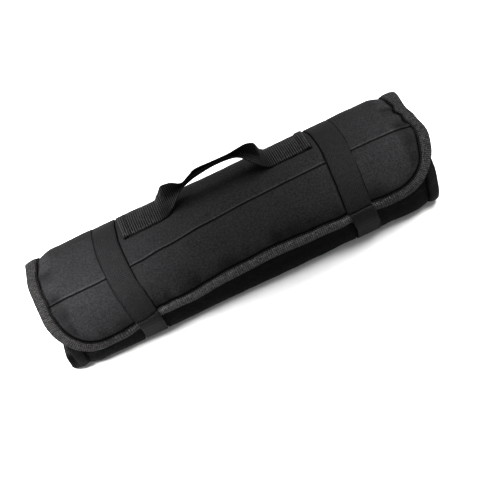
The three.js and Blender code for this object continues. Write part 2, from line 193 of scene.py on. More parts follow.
# Small waviness: wavelength and reach in millimetres, and the seed of its draw
Wave = namedtuple("Wave", "length reach seed")
LINE_KNOTS, LINE_START = 512, 200.0
GRID_KNOTS, GRID_START = 128, 50.0
END_WAVE = Wave(27, 0.9, 11)
END_RIPPLE = Wave(13, 0.35, 12)
END_SWAY = Wave(21, 0.7, 13)
FLAP_EDGE_WAVE = Wave(33, 0.25, 14)
SEAM_WAVE = Wave(40, 0.35, 21)
PADDING_SWELL = Wave(52, 0.7, 31)
PADDING_DENT = Wave(21, 0.45, 32)
PADDING_GRAIN = Wave(8, 0.16, 33)
TIGHT_PUCKER = Wave(7, 1.2, 41)
WIDE_PUCKER = Wave(13, 1.1, 42)
TAPE_WAVE = Wave(14, 0.5, 51)
TAPE_SLACK = Wave(22, 0.4, 53)
BAND_EDGE_WAVE = Wave(30, 0.35, 61)
BAND_LIFT = Wave(18, 0.12, 63)
BAND_CREASE_WAVE = Wave(5, 0.5, 65)
WEB_RIPPLE = Wave(9, 0.1, 71)

# Narrow lines pressed into a surface: place, width and depth in millimetres
Line = namedtuple("Line", "place width depth")
SEAM_PINCH = Line(-0.6, 0.7, 1.0)
SEAM_HOLLOW = Line(-3, 5, 0.25)
PUCKER_ZONE = Line(8, 10, 1)
BAND_PINCH = Line(0, 0.9, 1.1)
BAND_PULL = Line(0, 5, 0.4)
BAND_LIP = Line(-2.3, 1.2, 0.6)
BAND_THINNED = Line(0, 6, 0.35)
BAND_ASIDE = 0.8
BAND_ASIDE_LENGTH = 40.0
BAND_ASIDE_FADE = 25.0
STITCH_GROOVE = Line(0, 0.55, 0.5)

# Painted shade and light stored on the cloth: the share of light left on covered, dented and inner
# cloth, and lines whose depth is the share of light that they take, or give where it is below zero
COVERED_START = 0.79
COVERED_FADE = 0.03
COVERED_SHADE = 0.24
INSIDE_SHADE = 0.8
DENT_SHADE = 0.45
DENT_SHADE_RANGE = (0.45, 1.4)
# Painted light along the tape's free front edge, weaker beyond a half length from the middle
TAPE_FRONT_LIGHT = 1.2
TAPE_FRONT_LIGHT_HALF = 105.0
TAPE_FRONT_LIGHT_FALL = 70.0
TAPE_FRONT_LIGHT_LOSS = 0.65
# Painted shade on tape that the flap covers, left and right
TAPE_COVERED_SHADE = (0.85, 0.5)
TAPE_SHADOW = Line(0.4, 1.3, 0.98)
SEAM_SHADOW = Line(-0.7, 0.8, 0.9)
SEAM_LIGHT = Line(0.9, 0.9, -0.8)
BAND_INNER_SHADOW = Line(0, 1.1, 0.85)
BAND_OUTER_SHADOW = Line(0, 0.7, 0.1)
STITCH_SHADOW = Line(0, 0.8, 0.6)
TAPE_EDGE_SHADOW = Line(0, 1.0, 0.95)
BAND_CREASE_SHADOW = Line(0, 0.8, 0.8)
BAND_CREASE_LIGHT = Line(-2, 1.2, -0.35)
HEM_SHADOW = Line(0, 0.9, 0.6)
# Where a band pulls the tape, and the painted highlight that the tape gets there
PULLED_TAPE = Line(5, 6, 1)
PULL_HIGHLIGHT = Line(8.2, 0.8, 1)
# Painted shade on the web's front part where it turns under beside each patch
TURNED_WEB_SHADE = Line(11, 8, 0.75)
# Painted highlight on the hem's turned end, painted shadow along the selvages and painted shade on the
# folded grip
HEM_LIGHT = 0.35
HEM_LIGHT_LENGTH = 2.0
SELVAGE_SHADE = 0.7
SELVAGE_START = 0.94
SELVAGE_FADE = 0.04
GRIP_SHADE = 0.6
GRIP_START = 28.0
GRIP_FADE = 16.0

# Tables along the panel and round the roll, in shares or millimetres
ASKEW_ALONG = (-1, -0.93, -0.85, -0.73, -0.62, -0.49, -0.35, -0.12, 0.12, 0.36, 0.5, 0.72, 0.9, 1)
ASKEW_EDGE = (-0.75, -1.0, -1.3, -1.2, -0.7, 0.04, 0.06, 0.69, 0.95, 0.68, 0.44, 0.53, 0.5, 0.7)
ASKEW_SEAM = (-0.94, -0.93, -0.9, -0.88, -0.8, -0.69, -0.31, 0.25, 0.63, 0.83, 0.91, 0.98, 0.8, 0.5)
WANDER_PATH = (0, 28, 47, 65, 79, 85, 94, 105, 114, 124, 139, 165, 200)
WANDER_RIGHT = (-1, -2, 0, -1.5, -2, 0.5, -1.8, 1.6, -1, 1.5, 5, 3, 0)
WANDER_LEFT = (-1, -1, -0.6, -1.6, -0.8, -1.6, -1.9, -0.8, -1.2, 0.6, 2.4, 1.5, 0)
REACH_PATH = (0, 0.23, 0.37, 0.49, 0.6, 0.78, 1)
REACH_LEFT = (-0.3, -0.3, 0, 0.4, 0.5, -0.3, 0)
REACH_RIGHT = (0, 0.3, 0.9, 0.17, -0.97, -0.46, 0)
BRIDGE_PATH = (0.36, 0.45, 0.55, 0.66, 0.79, 0.9, 1)
BRIDGE_DEPTH = (0, 0.035, 0.19, 0.3, 0.26, 0.12, 0)

# The handle's free part: share of the way, how much it is laid on the panel,
# then across and rise of the web's front edge, fold and back edge
LOOP_TABLE = np.array([
    (0.00, 1.00, -0.95, 0.17, 0.00, 0.02, 0.80, -0.24),
    (0.05, 0.55, -0.95, 0.16, 0.08, 0.10, 0.74, 0.42),
    (0.12, 0.08, -0.74, 0.22, 0.19, 0.18, 0.50, 0.65),
    (0.20, 0.00, -0.57, 0.50, 0.19, 0.28, 0.10, 0.76),
    (0.27, 0.00, -0.35, 0.74, 0.16, 0.40, -0.25, 0.77),
    (0.34, 0.00, -0.27, 0.85, 0.19, 0.50, -0.17, 0.88),
    (0.41, 0.00, -0.24, 0.92, 0.23, 0.56, -0.04, 0.96),
    (0.55, 0.00, -0.22, 0.97, 0.28, 0.62, -0.13, 0.99),
    (0.67, 0.00, -0.24, 0.95, 0.28, 0.61, -0.13, 0.98),
    (0.76, 0.00, -0.48, 0.87, 0.23, 0.60, -0.06, 0.99),
    (0.84, 0.00, -0.72, 0.56, 0.20, 0.48, 0.14, 0.91),
    (0.91, 0.05, -0.85, 0.27, 0.09, 0.25, 0.35, 0.70),
    (0.96, 0.60, -0.93, 0.20, 0.03, 0.10, 0.70, 0.22),
    (1.00, 1.00, -0.95, 0.17, 0.00, 0.02, 0.80, -0.24),
])


def smooth_step(value):
    """Eases from 0 to 1 as the value goes from 0 to 1."""
    share = np.clip(value, 0.0, 1.0)
    return share * share * (3 - 2 * share)


def read_table(keys, values, position):
    """Value at a position, easing from one row of a table to the next."""
    keys = np.asarray(keys, float)
    values = np.asarray(values, float)
    position = np.clip(position, keys[0], keys[-1])
    row = np.clip(np.searchsorted(keys, position, side="right") - 1, 0, len(keys) - 2)
    share = (position - keys[row]) / (keys[row + 1] - keys[row])
    return values[row] + (values[row + 1] - values[row]) * smooth_step(share)


def line_depth(line, distance):
    """Depth of a rounded line, by the distance from where it is measured."""
    return line.depth * np.exp(-(((distance - line.place) / line.width) ** 2))


def line_shade(line, distance):
    """Share of light that a line leaves."""
    return 1 - line_depth(line, distance)


def knot_place(position, wavelength, start, knots):
    """The knots before and after a place, and the eased share of the way between."""
    place = np.asarray(position, float) / wavelength + start
    low = np.floor(place).astype(int)
    return low % knots, (low + 1) % knots, smooth_step(place - low)


def noise(wave, position, draw=0):
    """Smooth, repeatable waviness along a line."""
    knots = np.random.default_rng(wave.seed + draw).uniform(-1, 1, LINE_KNOTS)
    before, after, share = knot_place(position, wave.length, LINE_START, LINE_KNOTS)
    return (knots[before] * (1 - share) + knots[after] * share) * wave.reach


def noise_2d(wave, first, second):
    """Smooth, repeatable unevenness over a surface."""
    knots = np.random.default_rng(wave.seed).uniform(-1, 1, (GRID_KNOTS, GRID_KNOTS))
    i0, i1, u = knot_place(first, wave.length, GRID_START, GRID_KNOTS)
    j0, j1, v = knot_place(second, wave.length, GRID_START, GRID_KNOTS)
    low = knots[i0, j0] * (1 - u) + knots[i1, j0] * u
    high = knots[i0, j1] * (1 - u) + knots[i1, j1] * u
    return (low * (1 - v) + high * v) * wave.reach


def outline_points():
    """The roll's outline from its front foot up, over, down and back."""
    half = ROLL_WIDTH / 2
    corners = (
        ((-FOOT_HALF, 0), (-half, FRONT_BULGE), True, FOOT_ROUNDNESS),
        ((-half, FRONT_BULGE), (CROWN_OFFSET, ROLL_HEIGHT), False, FRONT_ROUNDNESS),
        ((CROWN_OFFSET, ROLL_HEIGHT), (half, BACK_BULGE), True, BACK_ROUNDNESS),
        ((half, BACK_BULGE), (FOOT_HALF, 0), False, FOOT_ROUNDNESS),
    )
    steps = np.linspace(0, 1, OUTLINE_STEPS + 1)[:-1, None]
    points = []
    for start, end, flat_first, roundness in corners:
        start, end = np.array(start, float), np.array(end, float)
        reach = (end - start) * roundness
        first = start + (reach * (1, 0) if flat_first else reach * (0, 1))
        second = end - (reach * (0, 1) if flat_first else reach * (1, 0))
        points.append(
            (1 - steps) ** 3 * start
            + 3 * (1 - steps) ** 2 * steps * first
            + 3 * (1 - steps) * steps**2 * second
            + steps**3 * end
        )
    points.append(np.array([[FOOT_HALF, 0.0], points[0][0]]))
    return np.vstack(points)


OUTLINE = outline_points()
OUTLINE_RUN = np.r_[0, np.cumsum(np.hypot(*np.diff(OUTLINE, axis=0).T))]
OUTLINE_LENGTH = OUTLINE_RUN[-1]


def outline_at(path, depth):
    """Points of the outline at path positions, shrunk inwards by depths."""
    wrapped = np.mod(path, OUTLINE_LENGTH)
    y = np.interp(wrapped, OUTLINE_RUN, OUTLINE[:, 0])
    z = np.interp(wrapped, OUTLINE_RUN, OUTLINE[:, 1])
    middle = ROLL_HEIGHT / 2
    return y * (1 - depth / (ROLL_WIDTH / 2)), middle + (z - middle) * (1 - depth / middle)


def winding_depth(turns):
    """How deep in the roll the panel lies; it dives under itself once a turn."""
    depth = np.zeros_like(np.asarray(turns, float))
    for lap in range(math.ceil(WINDING_TURNS)):
        depth = depth + smooth_step((turns - lap - DIVE_START) / (DIVE_END - DIVE_START))
    return depth * WINDING_PITCH


TURN_TABLE = np.arange(0, WINDING_TURNS + TURN_STEP / 2, TURN_STEP)
TURN_LENGTHS = OUTLINE_LENGTH - 2 * np.pi * winding_depth(TURN_TABLE[:-1] + TURN_STEP / 2)
RUN_TABLE = np.r_[0, np.cumsum(TURN_LENGTHS * TURN_STEP)]
PANEL_PATH = RUN_TABLE[-1]


def turns_at(path):
    """Turns wound at a length run along the panel from the flap's edge."""
    path = np.asarray(path, float)
    wound = np.interp(path, RUN_TABLE, TURN_TABLE)
    past_end = TURN_TABLE[-1] + (path - PANEL_PATH) / INNERMOST_TURN
    wound = np.where(path > PANEL_PATH, past_end, wound)
    return np.where(path < 0, path / OUTLINE_LENGTH, wound)


def strap_lean(side, path):
    """How far sideways a band lies as it goes round."""
    path = np.mod(path, OUTLINE_LENGTH)
    left = read_table(LEAN_PATH, LEAN_LEFT, path)
    return np.where(np.asarray(side) < 0, left, read_table(LEAN_PATH, LEAN_RIGHT, path))


def band_half(along):
    """Half width of the band on the same side."""
    return np.where(np.asarray(along) < 0, *BAND_WIDTHS) / 2


def strap_centre(along):
    """Centre of the band on the same side."""
    return np.where(np.asarray(along) < 0, STRAP_CENTRES[-1], STRAP_CENTRES[1])


def lean_shift(along, path):
    """The panel's cloth goes sideways with the band that presses into it."""
    beyond = np.abs(along - strap_centre(along)) - STRAP_WIDTH / 2 - STRAP_SHOULDER
    return strap_lean(np.sign(along), path) * (1 - smooth_step(beyond / STRAP_WIDTH))


def askew_at(along, path):
    """How far the flap's edge and seam are rolled askew."""
    share = along / (PANEL_LENGTH / 2)
    edge = ASKEW_REACH * read_table(ASKEW_ALONG, ASKEW_EDGE, share)
    seam = ASKEW_REACH * read_table(ASKEW_ALONG, ASKEW_SEAM, share)
    before = edge + (seam - edge) * smooth_step(path / SEAM_PATH)
    after = seam * (1 - smooth_step((path - SEAM_PATH) / SEAM_PATH))
    return np.where(path < SEAM_PATH, before, after)


def end_reach(along, path):
    """How far the ends waver outwards, and where the lower turn is tucked in."""
    place = path / WAVER_SPAN
    left = read_table(REACH_PATH, REACH_LEFT, place)
    right = read_table(REACH_PATH, REACH_RIGHT, place)
    reach = WAVER_REACH * np.where(along < 0, left, right)
    inner = PANEL_LENGTH / 2 - WAVER_BAND
    share = np.clip((np.abs(along) - inner) / WAVER_BAND, 0, 1)
    left = read_table(TUCK_PATH, TUCK_LEFT, path)
    reach = reach - np.where(along < 0, left, read_table(TUCK_PATH, TUCK_RIGHT, path))
    return np.sign(along) * reach * share


def edge_wave(along, path):
    """The bound ends wave, and the flap's free edge stands off the roll."""
    toward_end = smooth_step((np.abs(along) - PANEL_LENGTH / 2 + WAVY_END) / WAVY_END)
    side = np.sign(along)
    rise = (noise(END_WAVE, path) + noise(END_RIPPLE, path * side)) * toward_end
    clear = np.abs(along - strap_centre(along)) - band_half(along)
    free = smooth_step((clear - 1) / FLAP_LIFT_FADE) * (1 - smooth_step(path / FLAP_LIFT_PATH))
    rise = rise + FLAP_LIFT * free * (1 + noise(FLAP_EDGE_WAVE, along))
    return rise, side * noise(END_SWAY, path) * toward_end


def wound_points(along, path, height):
    """Points of the wound panel, in millimetres."""
    along, path, height = np.broadcast_arrays(
        np.asarray(along, float), np.asarray(path, float), np.asarray(height, float)
    )
    turns = turns_at(path)
    rise, sideways = edge_wave(along, path)
    depth = winding_depth(turns) + PAD_THICKNESS - height - rise
    place = FLAP_EDGE_PATH + turns * OUTLINE_LENGTH
    y, z = outline_at(place + askew_at(along, path), depth)
    shift = lean_shift(along, place) + end_reach(along, path) + sideways
    return np.stack([along + shift, y, z], axis=-1)


def face_heights(from_edge):
    """Heights of the panel's inner and outer face, thin at the edge and padded inside."""
    rise = smooth_step((from_edge - BINDING_WIDTH) / PUFF_WIDTH)
    puff = np.sqrt(rise)
    inner = EDGE_LIFT * (1 - puff)
    outer = EDGE_LIFT + EDGE_THICKNESS + (PAD_THICKNESS - EDGE_LIFT - EDGE_THICKNESS) * puff
    return inner, outer


def beside_band(along):
    """How far a place is outside the gap a band lies in: wider on its inner side."""
    centre = strap_centre(along)
    outward = (along - centre) * np.sign(centre)
    return np.maximum(-outward - INNER_GAP, outward - OUTER_GAP) - band_half(along)


def strap_dip(along, path):
    """How deep a band presses into the padding; the cloth closes up beside it."""
    covered = 1 - smooth_step(beside_band(along) / SNUG_SHOULDER)
    fade = (turns_at(path) - DIP_FADE_START) / (DIP_FADE_END - DIP_FADE_START)
    padded = smooth_step((path - BINDING_WIDTH) / PUFF_WIDTH)
    return (STRAP_THICKNESS + STRAP_CLEARANCE) * covered * (1 - smooth_step(fade)) * padded


def seam_height(along, path):
    """A tuck across the flap: raised above its stitches, pinched below them."""
    away = path - SEAM_PATH
    strength = 1.0 + noise(SEAM_WAVE, along)
    ridge = SEAM_RIDGE * np.exp(-np.maximum(away, 0) / SEAM_RIDGE_FALL)
    above = ridge * smooth_step((away + 0.2) / 0.8)
    below = -line_depth(SEAM_PINCH, away) - line_depth(SEAM_HOLLOW, away)
    return (above + below) * strength


def nearest_edge(along, path):
    """How near a place is to a bound end, and the length run along the nearest edge."""
    near_end = smooth_step((np.abs(along) - PANEL_LENGTH / 2 + CORNER_RADIUS) / CORNER_RADIUS)
    return near_end, np.where(near_end > 0.5, path, along)


def tape_wander(along, path):
    """How far the tape's inner edge strays: most where the right end is puckered."""
    near_end, run = nearest_edge(along, path)
    right = read_table(WANDER_PATH, WANDER_RIGHT, path)
    left = read_table(WANDER_PATH, WANDER_LEFT, path)
    return np.where(along > 0, right, left) * near_end + noise(TAPE_WAVE, run)


def covered_share(path):
    """How far the flap's free edge covers the cloth at a place of the winding."""
    return smooth_step((turns_at(path) - COVERED_START) / COVERED_FADE)


def shade_share(along, path, from_edge, pucker):
    """Share of light left on the outer face, painted in: shade in creases, gaps, dents and covered
    cloth, and a highlight above the seam.
    """
    shade = 1 - (1 - COVERED_SHADE) * covered_share(path)
    shade = shade * np.clip(1 + DENT_SHADE * pucker, *DENT_SHADE_RANGE)
    outward = (along - strap_centre(along)) * np.sign(along)
    for line, distance in (
        (TAPE_SHADOW, from_edge - BINDING_WIDTH),
        (SEAM_SHADOW, path - SEAM_PATH),
        (SEAM_LIGHT, path - SEAM_PATH),
        (BAND_INNER_SHADOW, outward + band_half(along) + INNER_GAP / 2),
        (BAND_OUTER_SHADOW, outward - band_half(along)),
    ):
        shade = shade * line_shade(line, distance)
    return shade


def panel_relief(along, path, from_edge):
    """Small unevenness of the outer face: soft padding, and puckers by the tape."""
    soft = noise_2d(PADDING_SWELL, along, path) + noise_2d(PADDING_DENT, along, path)
    soft = soft + noise_2d(PADDING_GRAIN, along, path)
    inside = smooth_step((from_edge - BINDING_WIDTH) / PUFF_WIDTH)
    near_end, run = nearest_edge(along, path)
    zone = line_depth(PUCKER_ZONE, from_edge - BINDING_WIDTH)
    zone = zone * smooth_step((from_edge - BINDING_WIDTH + 1) / PUCKER_FADE)
    gathered = PUCKER_IN_MIDDLE + near_end * smooth_step((path - PUCKER_START) / PUCKER_START)
    pucker = (noise(TIGHT_PUCKER, run) + noise(WIDE_PUCKER, run)) * gathered
    return soft * inside, pucker * zone


def even_steps(start, end, step):
    """Even places from start to end, as near to the step as they come."""
    count = max(1, round((end - start) / step))
    return np.linspace(start, end, count + 1)


RIM_LENGTH = PANEL_LENGTH / 2 - CORNER_RADIUS
PATH_END = PANEL_PATH - CORNER_RADIUS


def panel_stations(step):
    """Even stations, drawn together where a band's edge or the seam is."""
    marks = [-RIM_LENGTH, RIM_LENGTH, 0]
    for centre in STRAP_CENTRES.values():
        for side in (-1, 1):
            reach = float(band_half(centre)) - BAND_EDGE_INSET
            marks += [centre + side * reach, centre + side * (reach + STRAP_SHOULDER)]
    marks.sort()
    along = [np.array([marks[0]])]
    for low, high in zip(marks, marks[1:]):
        at_band_edge = high - low < STRAP_SHOULDER + BAND_EDGE_STEP
        along.append(even_steps(low, high, BAND_EDGE_STEP if at_band_edge else step)[1:])
    seam = [SEAM_PATH + away for away in FROM_SEAM]
    path = [
        even_steps(CORNER_RADIUS, seam[0], step),
        np.array(seam[1:]),
        even_steps(seam[-1], OUTLINE_LENGTH, step)[1:],
        even_steps(OUTLINE_LENGTH, PATH_END, step * INNER_TURN_COARSER)[1:],
    ]
    return np.concatenate(along), np.concatenate(path)


def rim_stops(along_stations, path_stations, arc_steps):
    """Stops round the inner rectangle, each with the way outwards."""
    stops = []
    low, high = path_stations[0], path_stations[-1]

    def arc(along, path, start_angle):
        for step in range(1, arc_steps):
            angle = start_angle + math.pi / 2 * step / arc_steps
            stops.append((along, path, math.cos(angle), math.sin(angle)))

    stops += [(along, low, 0, -1) for along in along_stations]
    arc(RIM_LENGTH, low, -math.pi / 2)
    stops += [(RIM_LENGTH, path, 1, 0) for path in path_stations]
    arc(RIM_LENGTH, high, 0)
    stops += [(along, high, 0, 1) for along in along_stations[::-1]]
    arc(-RIM_LENGTH, high, math.pi / 2)
    stops += [(-RIM_LENGTH, path, -1, 0) for path in path_stations[::-1]]
    arc(-RIM_LENGTH, low, math.pi)
    return np.array(stops, float)


def rim_place(stops, from_edge):
    """Where the stops are on the panel, at a distance from its edge."""
    outward = CORNER_RADIUS - from_edge
    return stops[:, 0] + stops[:, 2] * outward, stops[:, 1] + stops[:, 3] * outward


def edge_run(stops):
    """Length run along the panel's edge at each stop."""
    along, path = rim_place(stops, 0.0)
    return np.r_[0, np.cumsum(np.hypot(np.diff(along), np.diff(path)))]


def centre_shift():
    """The CAD model is centred on its box, so the meshes move by as much."""
    low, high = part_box("padded_panel")
    coarse_step, coarse_arc = 14.0, 6
    stops = rim_stops(*panel_stations(coarse_step), coarse_arc)
    points = wound_points(*rim_place(stops, 0.0), EDGE_LIFT)
    y, _ = outline_at(np.linspace(0, OUTLINE_LENGTH, 400), 0)
    middle = (points[:, 0].min() + points[:, 0].max()) / 2
    return np.array([(low[0] + high[0]) / 2 / MM - middle, high[1] / MM - y.max(), 0.0])


def make_object(name, points, faces, coordinates=None, shade=None, smooth=True):
    """A mesh object from points in millimetres, with its cloth coordinates."""
    mesh = bpy.data.meshes.new(name)
    placed = (np.asarray(points) + SHIFT) * MM
    mesh.from_pydata(placed.tolist(), [], [list(map(int, face)) for face in faces])
    mesh.validate()
    if coordinates is not None:
        layer = mesh.uv_layers.new(name="Cloth")
        corners = np.empty(len(mesh.loops), dtype=np.int32)
        mesh.loops.foreach_get("vertex_index", corners)
        layer.data.foreach_set("uv", (np.asarray(coordinates)[corners] * MM).ravel())
    if shade is not None:
        store = mesh.attributes.new("Shade", "FLOAT", "POINT")
        store.data.foreach_set("value", np.asarray(shade, dtype=np.float32))
    if smooth:
        mesh.shade_smooth()
    mesh.update()
    made = bpy.data.objects.new(name, mesh)
    bpy.context.collection.objects.link(made)
    return made


def ring_faces(rings, size, closed):
    """Faces between rings of points, and from the last to the first where it is closed."""
    faces = []
    for ring in range(rings if closed else rings - 1):
        after = (ring + 1) % rings
        for spot in range(size):
            beside = (spot + 1) % size
            faces.append((ring * size + spot, ring * size + beside,
                          after * size + beside, after * size + spot))
    return faces


# Wave texture's own period at scale 1, and a pattern with the amounts it is spread over
WAVE_PERIOD = 0.31416
Pattern = namedtuple("Pattern", "value low high dark light", defaults=(0.25, 0.75))


def linear(hex_colour):
    """A colour written as sRGB hex, as the linear values that shaders take."""
    channels = [int(hex_colour[i : i + 2], 16) / 255 for i in (1, 3, 5)]
    return [c / 12.92 if c <= 0.04045 else ((c + 0.055) / 1.055) ** 2.4 for c in channels] + [1]


def colour_setting(name, description, hex_colour):
    """A colour that a user can change, from its sRGB hex value."""
    return bpy.props.FloatVectorProperty(
        name=name, description=description, default=linear(hex_colour), size=4, min=0.0, max=1.0,
        subtype="COLOR")


class Shader:
    """A material's node tree, with short calls that add and join nodes."""

    def __init__(self, name):
        self.material = bpy.data.materials.new(name)
        self.material.use_nodes = True
        self.tree = self.material.node_tree
        self.surface = self.tree.nodes["Principled BSDF"]

    def add(self, kind, settings=None, **inputs):
        node = self.tree.nodes.new(kind)
        for key, value in (settings or {}).items():
            setattr(node, key, value)
        for key, value in inputs.items():
            socket = node.inputs[int(key[1:])] if key[0] == "i" and key[1:].isdigit() else None
            self.put(socket or node.inputs[key.replace("_", " ")], value)
        return node

    def put(self, socket, value):
        if isinstance(value, bpy.types.NodeSocket):
            self.tree.links.new(value, socket)
        else:
            socket.default_value = value

    def finish(self, **values):
        for key, value in values.items():
            self.put(self.surface.inputs[key.replace("_", " ")], value)
        return self.material


def cloth_millimetres(shader):
    """Cloth coordinates in millimetres, along and across the piece."""
    source = shader.add("ShaderNodeUVMap", {"uv_map": "Cloth"})
    return shader.add("ShaderNodeMapping", Vector=source.outputs[0], Scale=(1000, 1000, 1000)).outputs[0]


def ribs(shader, direction, pitch, distortion=0.5):
    """Height of rounded ribs at an even pitch in millimetres."""
    return shader.add(
        "ShaderNodeTexWave", {"bands_direction": direction}, Vector=cloth_millimetres(shader),
        Scale=WAVE_PERIOD / pitch, Distortion=distortion, Detail=1.0, Detail_Scale=0.8,
    ).outputs["Fac"]


def threads(shader, pitch_along, pitch_across):
    """Height of a plain weave: rounded threads that pass over and under."""
    along = ribs(shader, "X", pitch_along)
    across = ribs(shader, "Y", pitch_across)
    squeezed = shader.add(
        "ShaderNodeMapping", Vector=cloth_millimetres(shader),
        Scale=(1 / pitch_along, 1 / pitch_across, 1),
    ).outputs[0]
    over = shader.add("ShaderNodeTexChecker", Vector=squeezed, Scale=1.0).outputs["Fac"]
    return shader.add("ShaderNodeMix", {"data_type": "FLOAT"}, i0=over, i2=along, i3=across).outputs[0]


def unevenness(shader, size, detail=3.0, roughness=0.55):
    """Irregular light and dark spots of a size in millimetres, fixed to the piece."""
    place = shader.add("ShaderNodeTexCoord").outputs["Object"]
    return shader.add(
        "ShaderNodeTexNoise", Vector=place, Scale=1 / (size * MM), Detail=detail, Roughness=roughness
    ).outputs["Fac"]


def spread(shader, *patterns, start=1.0):
    """A value times each pattern, which goes from its low amount to its high one."""
    for value, low, high, dark, light in patterns:
        amount = shader.add(
            "ShaderNodeMapRange", Value=value, From_Min=dark, From_Max=light, To_Min=low, To_Max=high
        ).outputs[0]
        start = shader.add(
            "ShaderNodeMath", {"operation": "MULTIPLY"}, i0=start, i1=amount
        ).outputs[0]
    return start


def patterned(shader, colour, *patterns, start=1.0):
    """The base colour times each pattern."""
    total = spread(shader, *patterns, start=start)
    grey = shader.add("ShaderNodeCombineColor", Red=total, Green=total, Blue=total).outputs[0]
    return shader.add(
        "ShaderNodeMix", {"data_type": "RGBA", "blend_type": "MULTIPLY"}, i0=1.0, i6=colour, i7=grey
    ).outputs[2]


def painted_shade(shader):
    """The painted shade and light that a piece stores for its creases, gaps, covered cloth and lit
    edges.
    """
    return shader.add("ShaderNodeAttribute", {"attribute_name": "Shade"}).outputs["Fac"]


def nylon_material(colour):
    """Matte plain-weave nylon; its weave breaks the light into a soft grey.

    The threads are drawn about twice their real spacing, so that they show.
    """
    shader = Shader("dark_nylon_cloth")
    weave = threads(shader, 1.1, 0.9)
    colour = patterned(
        shader, colour,
        Pattern(unevenness(shader, 22.2, 4.0, 0.6), 0.92, 1.08),
        Pattern(unevenness(shader, 1.786, 3.0, 0.7), 0.45, 1.55),
        Pattern(weave, 0.74, 1.16, 0.0, 1.0), start=painted_shade(shader),
    )
    bump = shader.add("ShaderNodeBump", Strength=0.5, Distance=0.00025, Height=weave)
    crease = shader.add(
        "ShaderNodeBump", Strength=0.4, Distance=0.0012, Height=unevenness(shader, 6.67, 3.0, 0.6),
        Normal=bump.outputs[0],
    )
    return shader.finish(
        Base_Color=colour, Roughness=spread(shader, Pattern(unevenness(shader, 3.85), 0.6, 0.8)),
        Normal=crease.outputs[0], Specular_IOR_Level=0.06,
    )


def tape_material(colour):
    """Ribbed binding tape, lighter than the cloth, with dotted ribs across it.

    The ribs are drawn about twice their real spacing, so that they show.
    """
    shader = Shader("grey_ribbed_tape")
    weave = threads(shader, 2.4, 2.0)
    colour = patterned(
        shader, colour,
        Pattern(unevenness(shader, 2.5, 3.0, 0.75), 0.3, 1.6, 0.3, 0.7),
        Pattern(weave, 0.3, 1.6, 0.0, 1.0), start=painted_shade(shader),
    )
    bump = shader.add("ShaderNodeBump", Strength=0.85, Distance=0.0008, Height=weave)
    return shader.finish(
        Base_Color=colour, Roughness=0.68, Normal=bump.outputs[0], Specular_IOR_Level=0.1
    )


def elastic_material(colour):
    """Knitted elastic: fine cords lengthwise, crossed by close dotted rows.

    The dots show in patches, as where the light catches them, and are drawn coarse.
    """
    shader = Shader("black_woven_elastic")
    cords = ribs(shader, "Y", 2.5, 0.3)
    dots = threads(shader, 2.3, 1.25)
    patches = spread(shader, Pattern(unevenness(shader, 28.6, 2.0, 0.5), 0.0, 1.0, 0.42, 0.58))
    dotted = spread(shader, Pattern(dots, 0.4, 1.5, 0.0, 1.0))
    shown = shader.add("ShaderNodeMix", {"data_type": "FLOAT"}, i0=patches, i2=1.0, i3=dotted)
    start = shader.add(
        "ShaderNodeMath", {"operation": "MULTIPLY"}, i0=painted_shade(shader), i1=shown.outputs[0]
    ).outputs[0]
    colour = patterned(
        shader, colour,
        Pattern(unevenness(shader, 2.38, 4.0, 0.7), 0.6, 1.4),
        Pattern(cords, 0.78, 1.14, 0.0, 1.0), start=start,
    )
    height = shader.add("ShaderNodeMath", {"operation": "ADD"}, i0=cords, i1=dots).outputs[0]
    bump = shader.add("ShaderNodeBump", Strength=0.5, Distance=0.0003, Height=height)
    return shader.finish(
        Base_Color=colour, Roughness=0.72, Normal=bump.outputs[0], Sheen_Weight=0.02,
        Sheen_Roughness=0.5, Specular_IOR_Level=0.1,
    )


def webbing_material(colour):
    """Heavy webbing whose thick threads stand out as rows of light and dark dots."""
    shader = Shader("coarse_dark_webbing")
    rows = ribs(shader, "X", 2.6, 0.3)
    weave = threads(shader, 2.6, 1.8)
    colour = patterned(
        shader, colour,
        Pattern(unevenness(shader, 2.63, 4.0, 0.75), 0.4, 1.7),
        Pattern(rows, 0.04, 1.7), Pattern(weave, 0.2, 1.7, 0.2, 0.8), start=painted_shade(shader),
    )
    height = shader.add("ShaderNodeMath", {"operation": "ADD"}, i0=rows, i1=weave).outputs[0]
    bump = shader.add("ShaderNodeBump", Strength=0.9, Distance=0.0007, Height=height)
    return shader.finish(
        Base_Color=colour, Roughness=0.62, Normal=bump.outputs[0], Sheen_Weight=0.02,
        Sheen_Roughness=0.5, Specular_IOR_Level=0.14,
    )


def thread_material(name, colour):
    """Sewing thread with a slight shine from its twist."""
    shader = Shader(name)
    colour = patterned(shader, colour, Pattern(unevenness(shader, 1.11), 0.8, 1.2))
    return shader.finish(Base_Color=colour, Roughness=0.6, Specular_IOR_Level=0.1)


def floor_material():
    """Smooth white studio ground, of one even tone."""
    shader = Shader("white_studio_ground")
    colour = patterned(shader, linear("#ffffff"), Pattern(unevenness(shader, 333), 0.79, 0.81))
    return shader.finish(Base_Color=colour, Roughness=0.9, Specular_IOR_Level=0.05)


def settle(piece, slot, *nodes):
    """Hangs a finished piece on the root and hides the CAD parts that it stands for."""
    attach(piece, "root")
    if nodes:
        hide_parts(*nodes)


def dress(piece, material, slot, node):
    """Finishes a closed piece that stands for a node of the part."""
    face_outwards(piece)
    piece.data.materials.append(material)
    settle(piece, slot, node)


